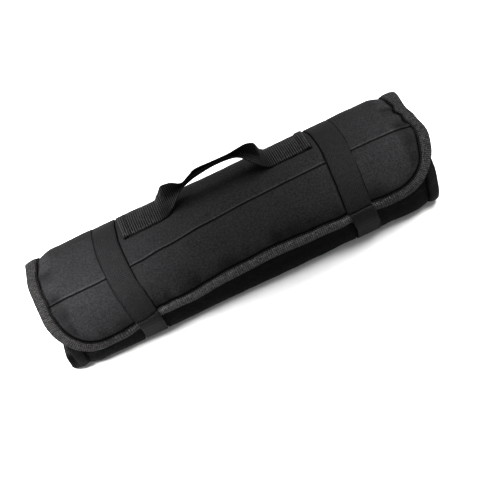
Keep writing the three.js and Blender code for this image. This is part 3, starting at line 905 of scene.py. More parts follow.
def panel_net(step):
    """The panel laid flat: its places as along, path and from_edge, faces and edge ring."""
    along_stations, path_stations = panel_stations(step)
    stops = rim_stops(along_stations, path_stations, PANEL_ARC_STEPS)
    distances = [CORNER_RADIUS, *FROM_EDGE_INSIDE]
    distances += [BINDING_WIDTH + away for away in FROM_TAPE]
    distances += FROM_EDGE_UNDER_TAPE
    lookup = {}
    places = []
    faces = []

    def place_index(along, path, from_edge):
        key = (round(float(along), 3), round(float(path), 3))
        if key not in lookup:
            lookup[key] = len(places)
            places.append((along, path, from_edge))
        return lookup[key]

    def add_face(*corners):
        kept = [corner for i, corner in enumerate(corners) if corner != corners[i - 1]]
        if len(kept) > 2:
            faces.append(tuple(kept))

    grid = np.empty((len(along_stations), len(path_stations)), dtype=int)
    for i, along in enumerate(along_stations):
        for j, path in enumerate(path_stations):
            to_side = RIM_LENGTH - abs(along)
            to_end = min(path - CORNER_RADIUS, PATH_END - path)
            from_edge = CORNER_RADIUS + max(0.0, min(to_side, to_end))
            grid[i, j] = place_index(along, path, from_edge)
    for i in range(len(along_stations) - 1):
        for j in range(len(path_stations) - 1):
            add_face(grid[i, j], grid[i + 1, j], grid[i + 1, j + 1], grid[i, j + 1])
    rim = np.empty((len(stops), len(distances)), dtype=int)
    for j, distance in enumerate(distances):
        for i, (along, path) in enumerate(zip(*rim_place(stops, distance))):
            rim[i, j] = place_index(along, path, distance)
    for i in range(len(stops)):
        after = (i + 1) % len(stops)
        for j in range(len(distances) - 1):
            add_face(rim[i, j], rim[i, j + 1], rim[after, j + 1], rim[after, j])
    return np.array(places, float).T, faces, rim[:, -1]


def on_floor(points):
    """Nothing goes under the surface that the roll lies on."""
    points[:, 2] = np.maximum(points[:, 2], 0.0)
    return points


def build_panel(step, relief_share, colour):
    (along, path, from_edge), faces, edge = panel_net(step)
    inside = from_edge - tape_wander(along, path) * relief_share
    inner, outer = face_heights(inside)
    soft, pucker = panel_relief(along, path, from_edge)
    relief = (soft + pucker) * relief_share
    outermost = 1 - smooth_step((turns_at(path) - DIVE_START) / (DIVE_END - DIVE_START))
    relief = relief * (INNER_RELIEF + (1 - INNER_RELIEF) * outermost)
    relief = relief + seam_height(along, path) * relief_share
    dip = strap_dip(along, path)
    lifted = outer - dip + relief * (1 - np.clip(dip / STRAP_THICKNESS, 0, 1))
    top = on_floor(wound_points(along, path, lifted))
    below = wound_points(along, path, inner)
    count = len(along)
    all_faces = faces + [tuple(c + count for c in reversed(face)) for face in faces]
    for a, b in zip(edge, np.roll(edge, -1)):
        if a != b:
            all_faces.append((a, a + count, b + count, b))
    coordinates = np.stack([along, path], axis=-1)
    shade = shade_share(along, path, inside, pucker * relief_share)
    piece = make_object(
        "panel_cloth", np.vstack([top, below]), all_faces, np.vstack([coordinates, coordinates]),
        np.concatenate([shade, np.full(count, INSIDE_SHADE)]),
    )
    dress(piece, nylon_material(colour), "panel_nylon", "padded_panel")


def face_outwards(piece):
    """Turns the faces of a closed mesh so that they all point out."""
    work = bmesh.new()
    work.from_mesh(piece.data)
    if work.calc_volume(signed=True) < 0:
        bmesh.ops.reverse_faces(work, faces=work.faces)
    work.to_mesh(piece.data)
    work.free()
    piece.data.shade_smooth()


def binding_section():
    """The folded tape's section: distance from the edge and height over the panel's back."""
    low = EDGE_LIFT - TAPE_FACE_GAP
    high = EDGE_LIFT + EDGE_THICKNESS + TAPE_FACE_GAP
    wall = BINDING_THICKNESS
    middle = (low + high) / 2
    radius = (high - low) / 2 + wall
    stitch = BINDING_WIDTH - STITCH_INSET
    section = []
    for from_edge in TAPE_STOPS:
        crown = TAPE_CROWN * math.sin(math.pi * min(1, max(0, (stitch - from_edge) / stitch)) ** 0.8)
        lip = TAPE_LIP * math.sin(math.pi * max(0, (from_edge - stitch) / STITCH_INSET))
        groove = line_depth(STITCH_GROOVE, from_edge - stitch)
        section.append((from_edge, high + wall + crown + lip - groove))
    for angle in np.radians(np.linspace(75, -75, 7)):
        section.append((-TAPE_FOLD_REACH * math.cos(angle), middle + radius * math.sin(angle)))
    section += [(from_edge, low - wall) for from_edge in TAPE_BACK_STOPS]
    rounded, halfway, fold = BINDING_WIDTH + 0.15, 7, -0.3
    section += [(rounded, low - wall / 2), (BINDING_WIDTH, low), (halfway, low), (fold, low)]
    section += [(fold, high), (halfway, high), (BINDING_WIDTH, high), (rounded, high + wall / 2)]
    return np.array(section)


def tape_shade(along, path, from_edge):
    """Share of light left on the tape, painted in: shade at its stitches and edge, a highlight beside
    the bands, light along the free front edge and shade on covered turns.
    """
    stitches = line_shade(STITCH_SHADOW, from_edge - BINDING_WIDTH + STITCH_INSET)
    line = stitches * line_shade(TAPE_EDGE_SHADOW, from_edge - BINDING_WIDTH)
    clear = np.abs(along - strap_centre(along)) - band_half(along)
    # Painted highlight: a light streak on the tape beside each band, near the flap's free edge
    pulled = line_depth(PULLED_TAPE, clear) * (path < CORNER_RADIUS)
    tape_highlight = 1 + pulled * line_depth(PULL_HIGHLIGHT, from_edge)
    # Painted light along the tape's free front edge, weaker towards the ends
    free_edge = 1 - smooth_step((path - BINDING_WIDTH) / CORNER_RADIUS)
    outside = smooth_step((np.abs(along) - TAPE_FRONT_LIGHT_HALF) / TAPE_FRONT_LIGHT_FALL)
    front_light = 1 + TAPE_FRONT_LIGHT * free_edge * (1 - TAPE_FRONT_LIGHT_LOSS * outside)
    # Painted shade on the tape where the flap's edge covers it
    under_flap_shade = 1 - np.where(along < 0, *TAPE_COVERED_SHADE) * covered_share(path)
    return under_flap_shade * front_light * line * tape_highlight


def build_ring_piece(name, rings, coordinates, shades):
    """A closed piece from its lengthwise rings of points."""
    points = np.stack(rings, axis=1)
    return make_object(
        name, on_floor(points.reshape(-1, 3)), ring_faces(len(points), len(rings), True),
        np.stack(coordinates, axis=1).reshape(-1, 2), np.stack(shades, axis=1).ravel(),
    )


def build_binding(step, wave_share, colour):
    stops = rim_stops(*panel_stations(step), TAPE_ARC_STEPS)
    around = edge_run(stops)
    section = binding_section()
    run_across = np.r_[0, np.cumsum(np.hypot(*np.diff(section, axis=0).T))]
    wander = tape_wander(*rim_place(stops, BINDING_WIDTH)) * wave_share
    slack = noise(TAPE_SLACK, around) * wave_share
    rings, coordinates, shades = [], [], []
    for (from_edge, height), across in zip(section, run_across):
        inward = smooth_step(from_edge / BINDING_WIDTH)
        along, path = rim_place(stops, from_edge + wander * inward)
        if height > EDGE_LIFT + EDGE_THICKNESS + BINDING_CLEARANCE:
            height = height + slack * (1 - inward)
        rings.append(wound_points(along, path, height))
        coordinates.append(np.stack([around, np.full_like(around, across)], axis=-1))
        shades.append(tape_shade(along, path, from_edge))
    piece = build_ring_piece("edge_tape", rings, coordinates, shades)
    dress(piece, tape_material(colour), "binding_tape", "edge_binding")


def strap_crease(side, path, across):
    """The flap's stitch row runs on across the band and draws it in."""
    along = STRAP_CENTRES[side] + across
    row = STITCH_ROW_PATH + askew_at(along, 0.0)
    away = path - row - noise(BAND_CREASE_WAVE, across, side)
    drawn_in = line_depth(BAND_PINCH, away) + line_depth(BAND_PULL, away) - line_depth(BAND_LIP, away)
    aside = BAND_ASIDE * smooth_step((away + BAND_ASIDE_LENGTH) / BAND_ASIDE_FADE)
    aside = aside * smooth_step((0.5 - away) / 2.5)
    shade = line_shade(BAND_CREASE_SHADOW, away) * line_shade(BAND_CREASE_LIGHT, away)
    return drawn_in, aside, shade


def strap_points(side, path, across, depth):
    """Points of an elastic band, in millimetres."""
    bridge = WINDING_PITCH * read_table(BRIDGE_PATH, BRIDGE_DEPTH, path / FLAP_EDGE_PATH)
    drawn_in, aside, _ = strap_crease(side, path, across)
    y, z = outline_at(path, bridge + depth + drawn_in)
    along = STRAP_CENTRES[side] + strap_lean(side, path) + across + aside
    return np.stack(np.broadcast_arrays(along, y, z), axis=-1)


def band_section(half):
    """The band's section as across and depth: a flat face with rounded edges."""
    rounding = [(share * half, depth) for share, depth in BAND_ROUNDING]
    flat = [(share * half, 0.0) for share in np.linspace(-BAND_FLAT_SHARE, BAND_FLAT_SHARE, 9)]
    back = [(share * half, STRAP_THICKNESS) for share in (BAND_BACK_SHARE, 0, -BAND_BACK_SHARE)]
    return [(-across, depth) for across, depth in rounding] + flat + rounding[::-1] + back


def build_strap(side, name, node, colour):
    half = float(band_half(side))
    crease_start = STITCH_ROW_PATH - BAND_CREASE_BEFORE
    crease_end = STITCH_ROW_PATH + BAND_CREASE_AFTER
    path = np.unique(np.round(np.concatenate([
        even_steps(0, crease_start, BAND_STEP),
        even_steps(crease_start, crease_end, BAND_CREASE_STEP),
        even_steps(crease_end, OUTLINE_LENGTH, BAND_BACK_STEP)[:-1],
    ]), 4))
    edge_wander = noise(BAND_EDGE_WAVE, path, side)
    on_foot = (path > OUTLINE_LENGTH - 2 * FOOT_HALF) | (path < BAND_FOOT_MARGIN)
    lift = np.where(on_foot, 0.0, noise(BAND_LIFT, path, side))
    thinner = line_depth(BAND_THINNED, path - STITCH_ROW_PATH)
    rings, coordinates, shades = [], [], []
    for across, depth in band_section(half):
        moved = -lift if depth < 1 else -thinner
        rings.append(strap_points(side, path, across + edge_wander * across / half, depth + moved))
        coordinates.append(np.stack([path, np.full_like(path, across)], axis=-1))
        shades.append(strap_crease(side, path, across)[2])
    piece = build_ring_piece(name, rings, coordinates, shades)
    material = bpy.data.materials.get("black_woven_elastic") or elastic_material(colour)
    dress(piece, material, "elastic_band", node)


def spline_rows(values, row):
    """A smooth curve through evenly numbered rows of values."""
    values = np.asarray(values, float)
    last = len(values) - 1
    low = np.clip(np.floor(row).astype(int), 0, last - 1)
    share = (row - low)[:, None]
    before, start = values[np.maximum(low - 1, 0)], values[low]
    end, after = values[low + 1], values[np.minimum(low + 2, last)]
    first = (end - before) / 2
    second = (after - start) / 2
    return (
        start * (1 + 2 * share) * (1 - share) ** 2
        + first * share * (1 - share) ** 2
        + end * share**2 * (3 - 2 * share)
        + second * share**2 * (share - 1)
    )


def laid_line(along, share, depth):
    """Where the web lies when it is flat on the panel, skewed as it is sewn."""
    start, end = HANDLE_ENDS
    middle = HANDLE_PATH + HANDLE_SKEW * ((along - start) / (end - start) - 0.5)
    return np.stack(outline_at(middle + share * WEBBING_WIDTH / 2, -depth), axis=-1)


def handle_lines(rows, shares):
    """Middle lines and half thicknesses of the free web at rows of its table."""
    half = WEBBING_WIDTH / 2
    gap = (WEBBING_THICKNESS + FOLD_GAP) / 2
    base = np.array(outline_at(np.array(HANDLE_PATH), 0.0))
    values = spline_rows(LOOP_TABLE, rows)
    size = np.array([half, LOOP_RISE])
    front, fold, back = (base + values[:, i : i + 2] * size for i in (2, 4, 6))
    apart = front - back
    apart = gap * apart / np.linalg.norm(apart, axis=1, keepdims=True)
    free = np.empty((len(rows), len(shares), 2))
    for index, share in enumerate(shares):
        away = (abs(share) - gap / half) / (1 - gap / half)
        root, tip = (fold + apart, front) if share < 0 else (fold - apart, back)
        bow = WEB_BOW * math.sin(math.pi * min(1.0, max(0.0, away)))
        free[:, index] = root + (tip - root) * away + np.sign(-share) * apart / gap * bow
    run = np.gradient(free, axis=1)
    run /= np.linalg.norm(run, axis=2, keepdims=True)
    normal = np.stack([-run[..., 1], run[..., 0]], axis=-1) * WEBBING_THICKNESS / 2
    start, end = HANDLE_ENDS
    low, high = start + PATCH_LENGTH, end - PATCH_LENGTH
    along = low + (high - low) * values[:, 0]
    lay = np.clip(read_table(np.arange(len(LOOP_TABLE)), LOOP_TABLE[:, 1], rows), 0, 1)
    lay = lay[:, None, None]
    faces = []
    for sign, depth in ((1, CLEARANCE + WEBBING_THICKNESS), (-1, CLEARANCE)):
        laid = laid_line(along[:, None], shares, depth)
        faces.append(laid * lay + (free + sign * normal) * (1 - lay))
    return along, (faces[0] + faces[1]) / 2, (faces[0] - faces[1]) / 2


def web_lines(shares):
    """The whole web: along, middle line and half thickness, from one sewn end to the other."""
    start, end = HANDLE_ENDS
    low, high = start + PATCH_LENGTH, end - PATCH_LENGTH
    parts = [handle_lines(np.linspace(0, len(LOOP_TABLE) - 1, LOOP_STATIONS), shares)]
    patches = (even_steps(start, low, WEB_STEP)[:-1], even_steps(high, end, WEB_STEP)[1:])
    for spot, stations in zip((0, 2), patches):
        upper = laid_line(stations[:, None], shares, CLEARANCE + WEBBING_THICKNESS)
        lower = laid_line(stations[:, None], shares, CLEARANCE)
        parts.insert(spot, (stations, (upper + lower) / 2, (upper - lower) / 2))
    return [np.concatenate(lines) for lines in zip(*parts)]


def web_shade(from_end, across):
    """Share of light left on the web, painted in: shade beside the hem and light on its turned end,
    shadow at the selvages, shade on the folded grip and where the web turns under.
    """
    share = across / (WEBBING_WIDTH / 2)
    from_patch = from_end - PATCH_LENGTH
    # Painted shadow beside the hem, and a painted highlight on its turned end
    hem = line_shade(HEM_SHADOW, from_end - HEM_LENGTH)
    hem = hem * (1 + HEM_LIGHT * smooth_step((HEM_LIGHT_LENGTH - from_end) / HEM_LIGHT_LENGTH))
    # Painted shadow along both edges of the web
    selvage = 1 - SELVAGE_SHADE * smooth_step((np.abs(share) - SELVAGE_START) / SELVAGE_FADE)
    # Painted shade on the folded grip
    grip = GRIP_SHADE * smooth_step((from_patch - GRIP_START) / GRIP_FADE)
    # Painted shade on the web's front part where it turns under
    turned = line_depth(TURNED_WEB_SHADE, from_patch)
    shade = hem[:, None] * selvage * (1 - grip[:, None] * (share < 0.9))
    return shade * (1 - turned[:, None] * smooth_step(0.3 - share))


def build_handle(colour):
    half = WEBBING_WIDTH / 2
    fold = (WEBBING_THICKNESS + FOLD_GAP) / 2 / half
    outer = np.array(WEB_STOPS)
    shares = np.concatenate([-outer[::-1], [-fold, fold], outer])
    thinner = np.interp(np.abs(shares), *WEB_EDGE_THICKNESS)
    along, middle, offset = web_lines(shares)
    from_end = np.minimum(along - HANDLE_ENDS[0], HANDLE_ENDS[1] - along)
    hem = HEM_RISE * smooth_step((HEM_LENGTH - from_end) / HEM_SLOPE)
    hem = hem - HEM_CUT * smooth_step((HEM_CUT_LENGTH - from_end) / HEM_CUT_LENGTH)
    thicker = thinner + 2 * hem[:, None] + noise(WEB_RIPPLE, along)[:, None]
    top = middle + offset * thicker[..., None]
    bottom = middle - offset * thinner[:, None]
    centre = middle[:, len(shares) // 2]
    run = np.r_[0, np.cumsum(np.hypot(np.diff(along), np.hypot(*np.diff(centre, axis=0).T)))]
    loops = np.concatenate([top, bottom[:, ::-1]], axis=1)
    size = loops.shape[1]
    points = np.concatenate([np.repeat(along[:, None, None], size, 1), loops], axis=2)
    across = np.concatenate([shares, shares[::-1]]) * half
    cloth = np.stack(np.broadcast_arrays(run[:, None], across), axis=-1)
    faces = ring_faces(len(along), size, False)
    for ring in (0, len(along) - 1):
        for spot in range(size // 2 - 1):
            quad = [ring * size + spot, ring * size + spot + 1,
                    ring * size + size - 2 - spot, ring * size + size - 1 - spot]
            faces.append(tuple(quad if ring else quad[::-1]))
    piece = make_object(
        "handle_web", points.reshape(-1, 3), faces, cloth.reshape(-1, 2),
        web_shade(from_end, across).ravel(),
    )
    dress(piece, webbing_material(colour), "handle_webbing", "carry_handle")


def stitch_group(material):
    """Geometry Nodes that lay one rounded stitch on each point of a seam."""
    tree = bpy.data.node_groups.new("stitches_on_points", "GeometryNodeTree")
    tree.is_modifier = True
    face = tree.interface
    face.new_socket("Geometry", in_out="INPUT", socket_type="NodeSocketGeometry")
    for name in ("Stitch Length", "Stitch Thickness"):
        face.new_socket(name, in_out="INPUT", socket_type="NodeSocketFloat")
    face.new_socket("Geometry", in_out="OUTPUT", socket_type="NodeSocketGeometry")

    def add(kind, **settings):
        node = tree.nodes.new(kind)
        for key, value in settings.items():
            setattr(node, key, value)
        return node

    start, end = add("NodeGroupInput"), add("NodeGroupOutput")
    ball = add("GeometryNodeMeshUVSphere")
    ball.inputs["Segments"].default_value = 6
    ball.inputs["Rings"].default_value = 5
    ball.inputs["Radius"].default_value = 0.5
    size = add("ShaderNodeCombineXYZ")
    turn = add("GeometryNodeInputNamedAttribute", data_type="FLOAT_VECTOR")
    turn.inputs["Name"].default_value = "stitch_turn"
    to_rotation = add("FunctionNodeEulerToRotation")
    place = add("GeometryNodeInstanceOnPoints")
    real = add("GeometryNodeRealizeInstances")
    smooth = add("GeometryNodeSetShadeSmooth")
    paint = add("GeometryNodeSetMaterial")
    paint.inputs["Material"].default_value = material
    link = tree.links.new
    link(start.outputs["Stitch Length"], size.inputs["X"])
    link(start.outputs["Stitch Thickness"], size.inputs["Y"])
    link(start.outputs["Stitch Thickness"], size.inputs["Z"])
    link(start.outputs["Geometry"], place.inputs["Points"])
    link(ball.outputs["Mesh"], place.inputs["Instance"])
    link(turn.outputs["Attribute"], to_rotation.inputs["Euler"])
    link(to_rotation.outputs["Rotation"], place.inputs["Rotation"])
    link(size.outputs["Vector"], place.inputs["Scale"])
    link(place.outputs["Instances"], real.inputs["Geometry"])
    link(real.outputs["Geometry"], smooth.inputs["Geometry"])
    link(smooth.outputs["Geometry"], paint.inputs["Geometry"])
    link(paint.outputs["Geometry"], end.inputs["Geometry"])
    return tree


def spaced(points, normals, pitch):
    """Even places on a polyline, with the way along it and the normal there."""
    run = np.r_[0, np.cumsum(np.linalg.norm(np.diff(points, axis=0), axis=1))]
    count = max(1, int(run[-1] / pitch))
    at = (np.arange(count) + 0.5) * run[-1] / count

    def look(values, where):
        return np.stack([np.interp(where, run, values[:, i]) for i in range(3)], axis=-1)

    after = look(points, np.minimum(at + LOOK_AHEAD, run[-1]))
    before = look(points, np.maximum(at - LOOK_AHEAD, 0))
    return look(points, at), after - before, look(normals, at)


def build_stitches(name, lines, pitch, length, thickness, material, slot):
    """Stitches along lines, which are pairs of points and normals in millimetres."""
    spots, turns = [], []
    for points, normals in lines:
        for spot, ahead, normal in zip(*spaced(points, normals, pitch)):
            x = Vector(ahead).normalized()
            z = Vector(normal)
            z = (z - x * z.dot(x)).normalized()
            basis = Matrix((x, z.cross(x), z)).transposed()
            spots.append(spot)
            turns.append(tuple(basis.to_euler()))
    piece = make_object(name, np.array(spots), [], smooth=False)
    store = piece.data.attributes.new("stitch_turn", "FLOAT_VECTOR", "POINT")
    store.data.foreach_set("vector", np.array(turns, dtype=np.float32).ravel())
    tree = stitch_group(material)
    modifier = piece.modifiers.new("stitches", "NODES")
    modifier.node_group = tree
    for item in tree.interface.items_tree:
        if item.name == "Stitch Length":
            modifier[item.identifier] = length * MM
        elif item.name == "Stitch Thickness":
            modifier[item.identifier] = thickness * MM
    bpy.context.view_layer.update()
    graph = bpy.context.evaluated_depsgraph_get()
    made = bpy.data.meshes.new_from_object(piece.evaluated_get(graph), depsgraph=graph)
    piece.modifiers.clear()
    old = piece.data
    piece.data = made
    made.name = name
    bpy.data.meshes.remove(old)
    bpy.data.node_groups.remove(tree)
    settle(piece, slot)


def surface_line(along, path, height):
    """A line on the wound panel's face, with its outward normals."""
    points = wound_points(along, path, height)
    return points, wound_points(along, path, height + 1.0) - points


def seam_lines():
    """The seam across the flap, in three lengths that end beside the bands."""
    end = PANEL_LENGTH / 2 - BINDING_WIDTH - SEAM_STITCH_MARGIN
    edges = [-end, end]
    for centre in STRAP_CENTRES.values():
        half = band_half(centre)
        edges += [centre - half - SEAM_STITCH_MARGIN, centre + half + SEAM_STITCH_MARGIN]
    edges.sort()
    lines = []
    for low, high in zip(edges[::2], edges[1::2]):
        along = even_steps(low, high, SEAM_STITCH_STEP)
        from_edge = np.minimum(PANEL_LENGTH / 2 - np.abs(along), CORNER_RADIUS)
        height = face_heights(from_edge)[1] - SEAM_STITCH_DEPTH
        lines.append(surface_line(along, np.full_like(along, SEAM_STITCH_PATH), height))
    return lines


def patch_lines():
    """A box with a cross in it on each sewn end of the handle."""
    start, end = HANDLE_ENDS
    near, far = -PATCH_STITCH_SHARE, PATCH_STITCH_SHARE
    lines = []
    outer, inner = PATCH_STITCH_OUTER, PATCH_LENGTH - PATCH_STITCH_INNER
    for low, high in ((start + outer, start + inner), (end - inner, end - outer)):
        corners = [(low, near), (high, near), (high, far), (low, far), (low, near)]
        strokes = list(zip(corners, corners[1:]))
        strokes += [((low, near), (high, far)), ((low, far), (high, near))]
        for stroke in strokes:
            along, share = (np.linspace(*ends, STROKE_POINTS) for ends in zip(*stroke))
            clear = HEM_LENGTH - np.minimum(along - start, end - along)
            hem = HEM_RISE * WEBBING_THICKNESS * smooth_step(clear / HEM_SLOPE)
            height = CLEARANCE + WEBBING_THICKNESS + hem - PATCH_STITCH_DEPTH
            low_points, high_points = (
                np.column_stack([along, laid_line(along, share, height + out)]) for out in (0, 1)
            )
            lines.append((low_points, high_points - low_points))
    return lines


def binding_lines(step):
    """Stitch rows on both legs of the folded tape, all the way round."""
    stops = rim_stops(*panel_stations(step), TAPE_ARC_STEPS)
    wander = tape_wander(*rim_place(stops, BINDING_WIDTH))
    place = rim_place(stops, BINDING_WIDTH - STITCH_INSET + wander)
    high = EDGE_LIFT + EDGE_THICKNESS + TAPE_FACE_GAP + BINDING_THICKNESS - TAPE_STITCH_DEPTH
    low = EDGE_LIFT - TAPE_FACE_GAP - BINDING_THICKNESS
    outer_points, outer_normals = surface_line(*place, high)
    inner_points, inner_normals = surface_line(*place, low)
    return [(outer_points, outer_normals), (inner_points, -inner_normals)]


class RollSettings(bpy.types.PropertyGroup):
    mesh_step: bpy.props.FloatProperty(
        name="Mesh Step", description="Spacing of the cloth's mesh", default=0.0036,
        min=0.001, unit="LENGTH")
    relief: bpy.props.FloatProperty(
        name="Relief", description="Strength of the padding's unevenness and puckers",
        default=1.0, min=0.0, max=2.0, subtype="FACTOR")


class ClothSettings(bpy.types.PropertyGroup):
    nylon: colour_setting("Nylon", "Colour of the padded panel's cloth", "#272728")
    tape: colour_setting("Tape", "Colour of the tape round the panel's edge", "#2f2e2e")
    elastic: colour_setting("Elastic", "Colour of the two elastic bands", "#202021")
    webbing: colour_setting("Webbing", "Colour of the carry handle", "#212121")
    dark_thread: colour_setting("Dark Thread", "Thread of the tape and the seam", "#0d0d0d")
    grey_thread: colour_setting("Grey Thread", "Thread of the handle's ends", "#3a3a3a")


class StitchSettings(bpy.types.PropertyGroup):
    pitch: bpy.props.FloatProperty(
        name="Pitch", description="Distance from one stitch to the next", default=0.004,
        min=0.001, unit="LENGTH")
    length: bpy.props.FloatProperty(
        name="Length", description="Length of one stitch", default=0.0028, unit="LENGTH")
    thickness: bpy.props.FloatProperty(
        name="Thickness", description="Thickness of the thread", default=0.0011, unit="LENGTH")


class StageSettings(bpy.types.PropertyGroup):
    azimuth: bpy.props.FloatProperty(
        name="Azimuth", description="Camera's way round the roll from its front",
        default=math.radians(-3.78), subtype="ANGLE")
    elevation: bpy.props.FloatProperty(
        name="Elevation", description="Camera's height over the horizon",
        default=math.radians(60), subtype="ANGLE")
    roll: bpy.props.FloatProperty(
        name="Roll", description="Camera's turn about its own axis",
        default=math.radians(21.98), subtype="ANGLE")
    distance: bpy.props.FloatProperty(
        name="Distance", description="Camera's distance from the roll", default=1.165, unit="LENGTH")
    focal: bpy.props.FloatProperty(
        name="Focal Length", description="Camera's focal length on a 36 mm sensor", default=75.0)
    key_power: bpy.props.FloatProperty(
        name="Key Power", description="Power of the large soft light", default=17.5, subtype="POWER")
    left_power: bpy.props.FloatProperty(
        name="Left Power", description="Power of the left light", default=0.75, subtype="POWER")
    right_power: bpy.props.FloatProperty(
        name="Right Power", description="Power of the right light", default=0.4, subtype="POWER")
    air_strength: bpy.props.FloatProperty(
        name="Air Strength", description="Strength of the white light from all round", default=0.46)
    exposure: bpy.props.FloatProperty(
        name="Exposure", description="Exposure of the picture, in stops", default=0.0)


class KNIFEROLL_OT_add_panel(bpy.types.Operator):
    """Add the wound, padded nylon panel"""

    bl_idname = "kniferoll.add_panel"
    bl_label = "Add Panel"

    def execute(self, context):
        settings = context.scene.kniferoll_roll
        build_panel(settings.mesh_step / MM, settings.relief, context.scene.kniferoll_cloth.nylon)
        return {"FINISHED"}


class KNIFEROLL_OT_add_binding(bpy.types.Operator):
    """Add the tape folded over the panel's edge"""

    bl_idname = "kniferoll.add_binding"
    bl_label = "Add Edge Tape"

    def execute(self, context):
        settings = context.scene.kniferoll_roll
        build_binding(settings.mesh_step / MM, settings.relief, context.scene.kniferoll_cloth.tape)
        return {"FINISHED"}


class KNIFEROLL_OT_add_straps(bpy.types.Operator):
    """Add the two elastic bands round the roll"""

    bl_idname = "kniferoll.add_straps"
    bl_label = "Add Elastic Bands"

    def execute(self, context):
        colour = context.scene.kniferoll_cloth.elastic
        build_strap(-1, "elastic_band_left", "elastic_strap_left", colour)
        build_strap(1, "elastic_band_right", "elastic_strap_right", colour)
        return {"FINISHED"}


class KNIFEROLL_OT_add_handle(bpy.types.Operator):
    """Add the webbing carry handle"""

    bl_idname = "kniferoll.add_handle"
    bl_label = "Add Handle"

    def execute(self, context):
        build_handle(context.scene.kniferoll_cloth.webbing)
        return {"FINISHED"}


class KNIFEROLL_OT_add_stitches(bpy.types.Operator):
    """Add the stitch rows of the tape, the flap's seam and the handle"""

    bl_idname = "kniferoll.add_stitches"
    bl_label = "Add Stitches"

    def execute(self, context):
        settings = context.scene.kniferoll_stitches
        cloth = context.scene.kniferoll_cloth
        step = context.scene.kniferoll_roll.mesh_step / MM
        size = (settings.pitch / MM, settings.length / MM, settings.thickness / MM)
        dark = thread_material("dark_sewing_thread", cloth.dark_thread)
        grey = thread_material("grey_sewing_thread", cloth.grey_thread)
        build_stitches("stitches_tape", binding_lines(step), *size, dark, "binding_tape")
        build_stitches("stitches_seam", seam_lines(), *size, dark, "panel_nylon")
        build_stitches("stitches_handle", patch_lines(), *size, grey, "handle_webbing")
        return {"FINISHED"}


class KNIFEROLL_OT_set_stage(bpy.types.Operator):
    """Add the white ground, the soft lights and the camera"""

    bl_idname = "kniferoll.set_stage"
    bl_label = "Set Stage"

    def execute(self, context):
        set_stage(context.scene, context.scene.kniferoll_stage)
        return {"FINISHED"}


class KNIFEROLL_PT_tools(bpy.types.Panel):
    bl_label = "Chef's Knife Roll"
    bl_idname = "KNIFEROLL_PT_tools"
    bl_space_type = "VIEW_3D"
    bl_region_type = "UI"
    bl_category = "Knife Roll"

    def draw(self, context):
        layout = self.layout
        for key in SETTINGS:
            group = getattr(context.scene, key)
            for setting in type(group).__annotations__:
                layout.prop(group, setting)
        for operator in OPERATORS:
            layout.operator(operator.bl_idname)


# Softboxes: place, aim and size in metres, spread in degrees, which a grid on the
# face narrows, and the setting that holds the power
Softbox = namedtuple("Softbox", "place aim size spread power")
SOFTBOXES = {
    "top_softbox": Softbox((-0.15, 0.42, 1.4), (0, 0, 0.05), (0.8, 0.6), 180, "key_power"),
    "left_softbox": Softbox((-0.3, -0.1, 0.5), (-0.24, 0, 0.08), (0.2, 0.2), 60, "left_power"),
    "right_softbox": Softbox((0.32, -0.06, 0.5), (0.24, 0, 0.08), (0.2, 0.2), 60, "right_power"),
}
GROUND_HALF = 6.0
AIM_HEIGHT = 0.045
VIEW_RIGHT = 0.0008
VIEW_DOWN = 0.0124


def add_softbox(name, box, power):
    light = bpy.data.lights.new(name, "AREA")
    light.shape = "RECTANGLE"
    light.size, light.size_y = box.size
    light.spread = math.radians(box.spread)
    light.energy = power
    lamp = bpy.data.objects.new(name, light)
    lamp.location = box.place
    lamp.rotation_euler = (Vector(box.aim) - Vector(box.place)).to_track_quat("-Z", "Y").to_euler()
    bpy.context.collection.objects.link(lamp)


def add_ground():
    mesh = bpy.data.meshes.new("studio_ground")
    corners = [(x * GROUND_HALF, y * GROUND_HALF, 0) for x, y in ((-1, -1), (1, -1), (1, 1), (-1, 1))]
    mesh.from_pydata(corners, [], [(0, 1, 2, 3)])
    mesh.materials.append(floor_material())
    ground = bpy.data.objects.new("studio_ground", mesh)
    bpy.context.collection.objects.link(ground)


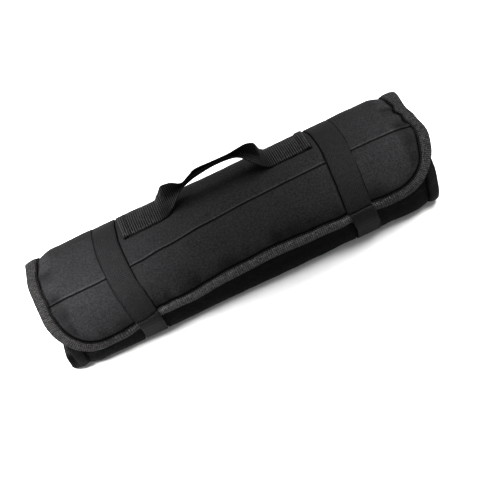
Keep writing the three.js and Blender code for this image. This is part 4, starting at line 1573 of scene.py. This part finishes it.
def add_camera(settings):
    """The camera of the photograph, turned about the roll and then about its own axis."""
    aim = Vector((SHIFT[0] * MM, SHIFT[1] * MM, AIM_HEIGHT))
    sin_a, cos_a = math.sin(settings.azimuth), math.cos(settings.azimuth)
    sin_e, cos_e = math.sin(settings.elevation), math.cos(settings.elevation)
    back = Vector((sin_a * cos_e, -cos_a * cos_e, sin_e))
    right = Vector((cos_a, sin_a, 0.0))
    up = back.cross(right)
    place = aim + back * settings.distance + right * VIEW_RIGHT - up * VIEW_DOWN
    turned_right = right * math.cos(settings.roll) - up * math.sin(settings.roll)
    turned_up = right * math.sin(settings.roll) + up * math.cos(settings.roll)
    lens = bpy.data.cameras.new("photo_camera")
    lens.sensor_width = 36.0
    lens.lens = settings.focal
    lens.clip_start = 0.05
    lens.dof.use_dof = False
    camera = bpy.data.objects.new("photo_camera", lens)
    basis = Matrix((turned_right, turned_up, back)).transposed().to_4x4()
    camera.matrix_world = Matrix.Translation(place) @ basis
    bpy.context.collection.objects.link(camera)
    return camera


def set_stage(scene, settings):
    add_ground()
    scene.camera = add_camera(settings)
    for name, box in SOFTBOXES.items():
        add_softbox(name, box, getattr(settings, box.power))
    world = bpy.data.worlds.new("studio_air")
    world.use_nodes = True
    air = world.node_tree.nodes["Background"]
    air.inputs["Color"].default_value = (1, 1, 1, 1)
    air.inputs["Strength"].default_value = settings.air_strength
    scene.world = world
    scene.view_settings.view_transform = "Standard"
    scene.view_settings.look = "High Contrast"
    scene.view_settings.exposure = settings.exposure


OPERATORS = (
    KNIFEROLL_OT_add_panel,
    KNIFEROLL_OT_add_binding,
    KNIFEROLL_OT_add_straps,
    KNIFEROLL_OT_add_handle,
    KNIFEROLL_OT_add_stitches,
    KNIFEROLL_OT_set_stage,
)
SETTINGS = {
    "kniferoll_roll": RollSettings,
    "kniferoll_cloth": ClothSettings,
    "kniferoll_stitches": StitchSettings,
    "kniferoll_stage": StageSettings,
}
CLASSES = (*SETTINGS.values(), *OPERATORS, KNIFEROLL_PT_tools)
SHIFT = centre_shift()


def register():
    for item in CLASSES:
        bpy.utils.register_class(item)
    for key, settings in SETTINGS.items():
        setattr(bpy.types.Scene, key, bpy.props.PointerProperty(type=settings))


def unregister():
    for key in SETTINGS:
        delattr(bpy.types.Scene, key)
    for item in reversed(CLASSES):
        bpy.utils.unregister_class(item)


def main():
    register()
    bpy.ops.kniferoll.add_panel()
    bpy.ops.kniferoll.add_binding()
    bpy.ops.kniferoll.add_straps()
    bpy.ops.kniferoll.add_handle()
    bpy.ops.kniferoll.add_stitches()
    bpy.ops.kniferoll.set_stage()


if __name__ == "__main__":
    main()
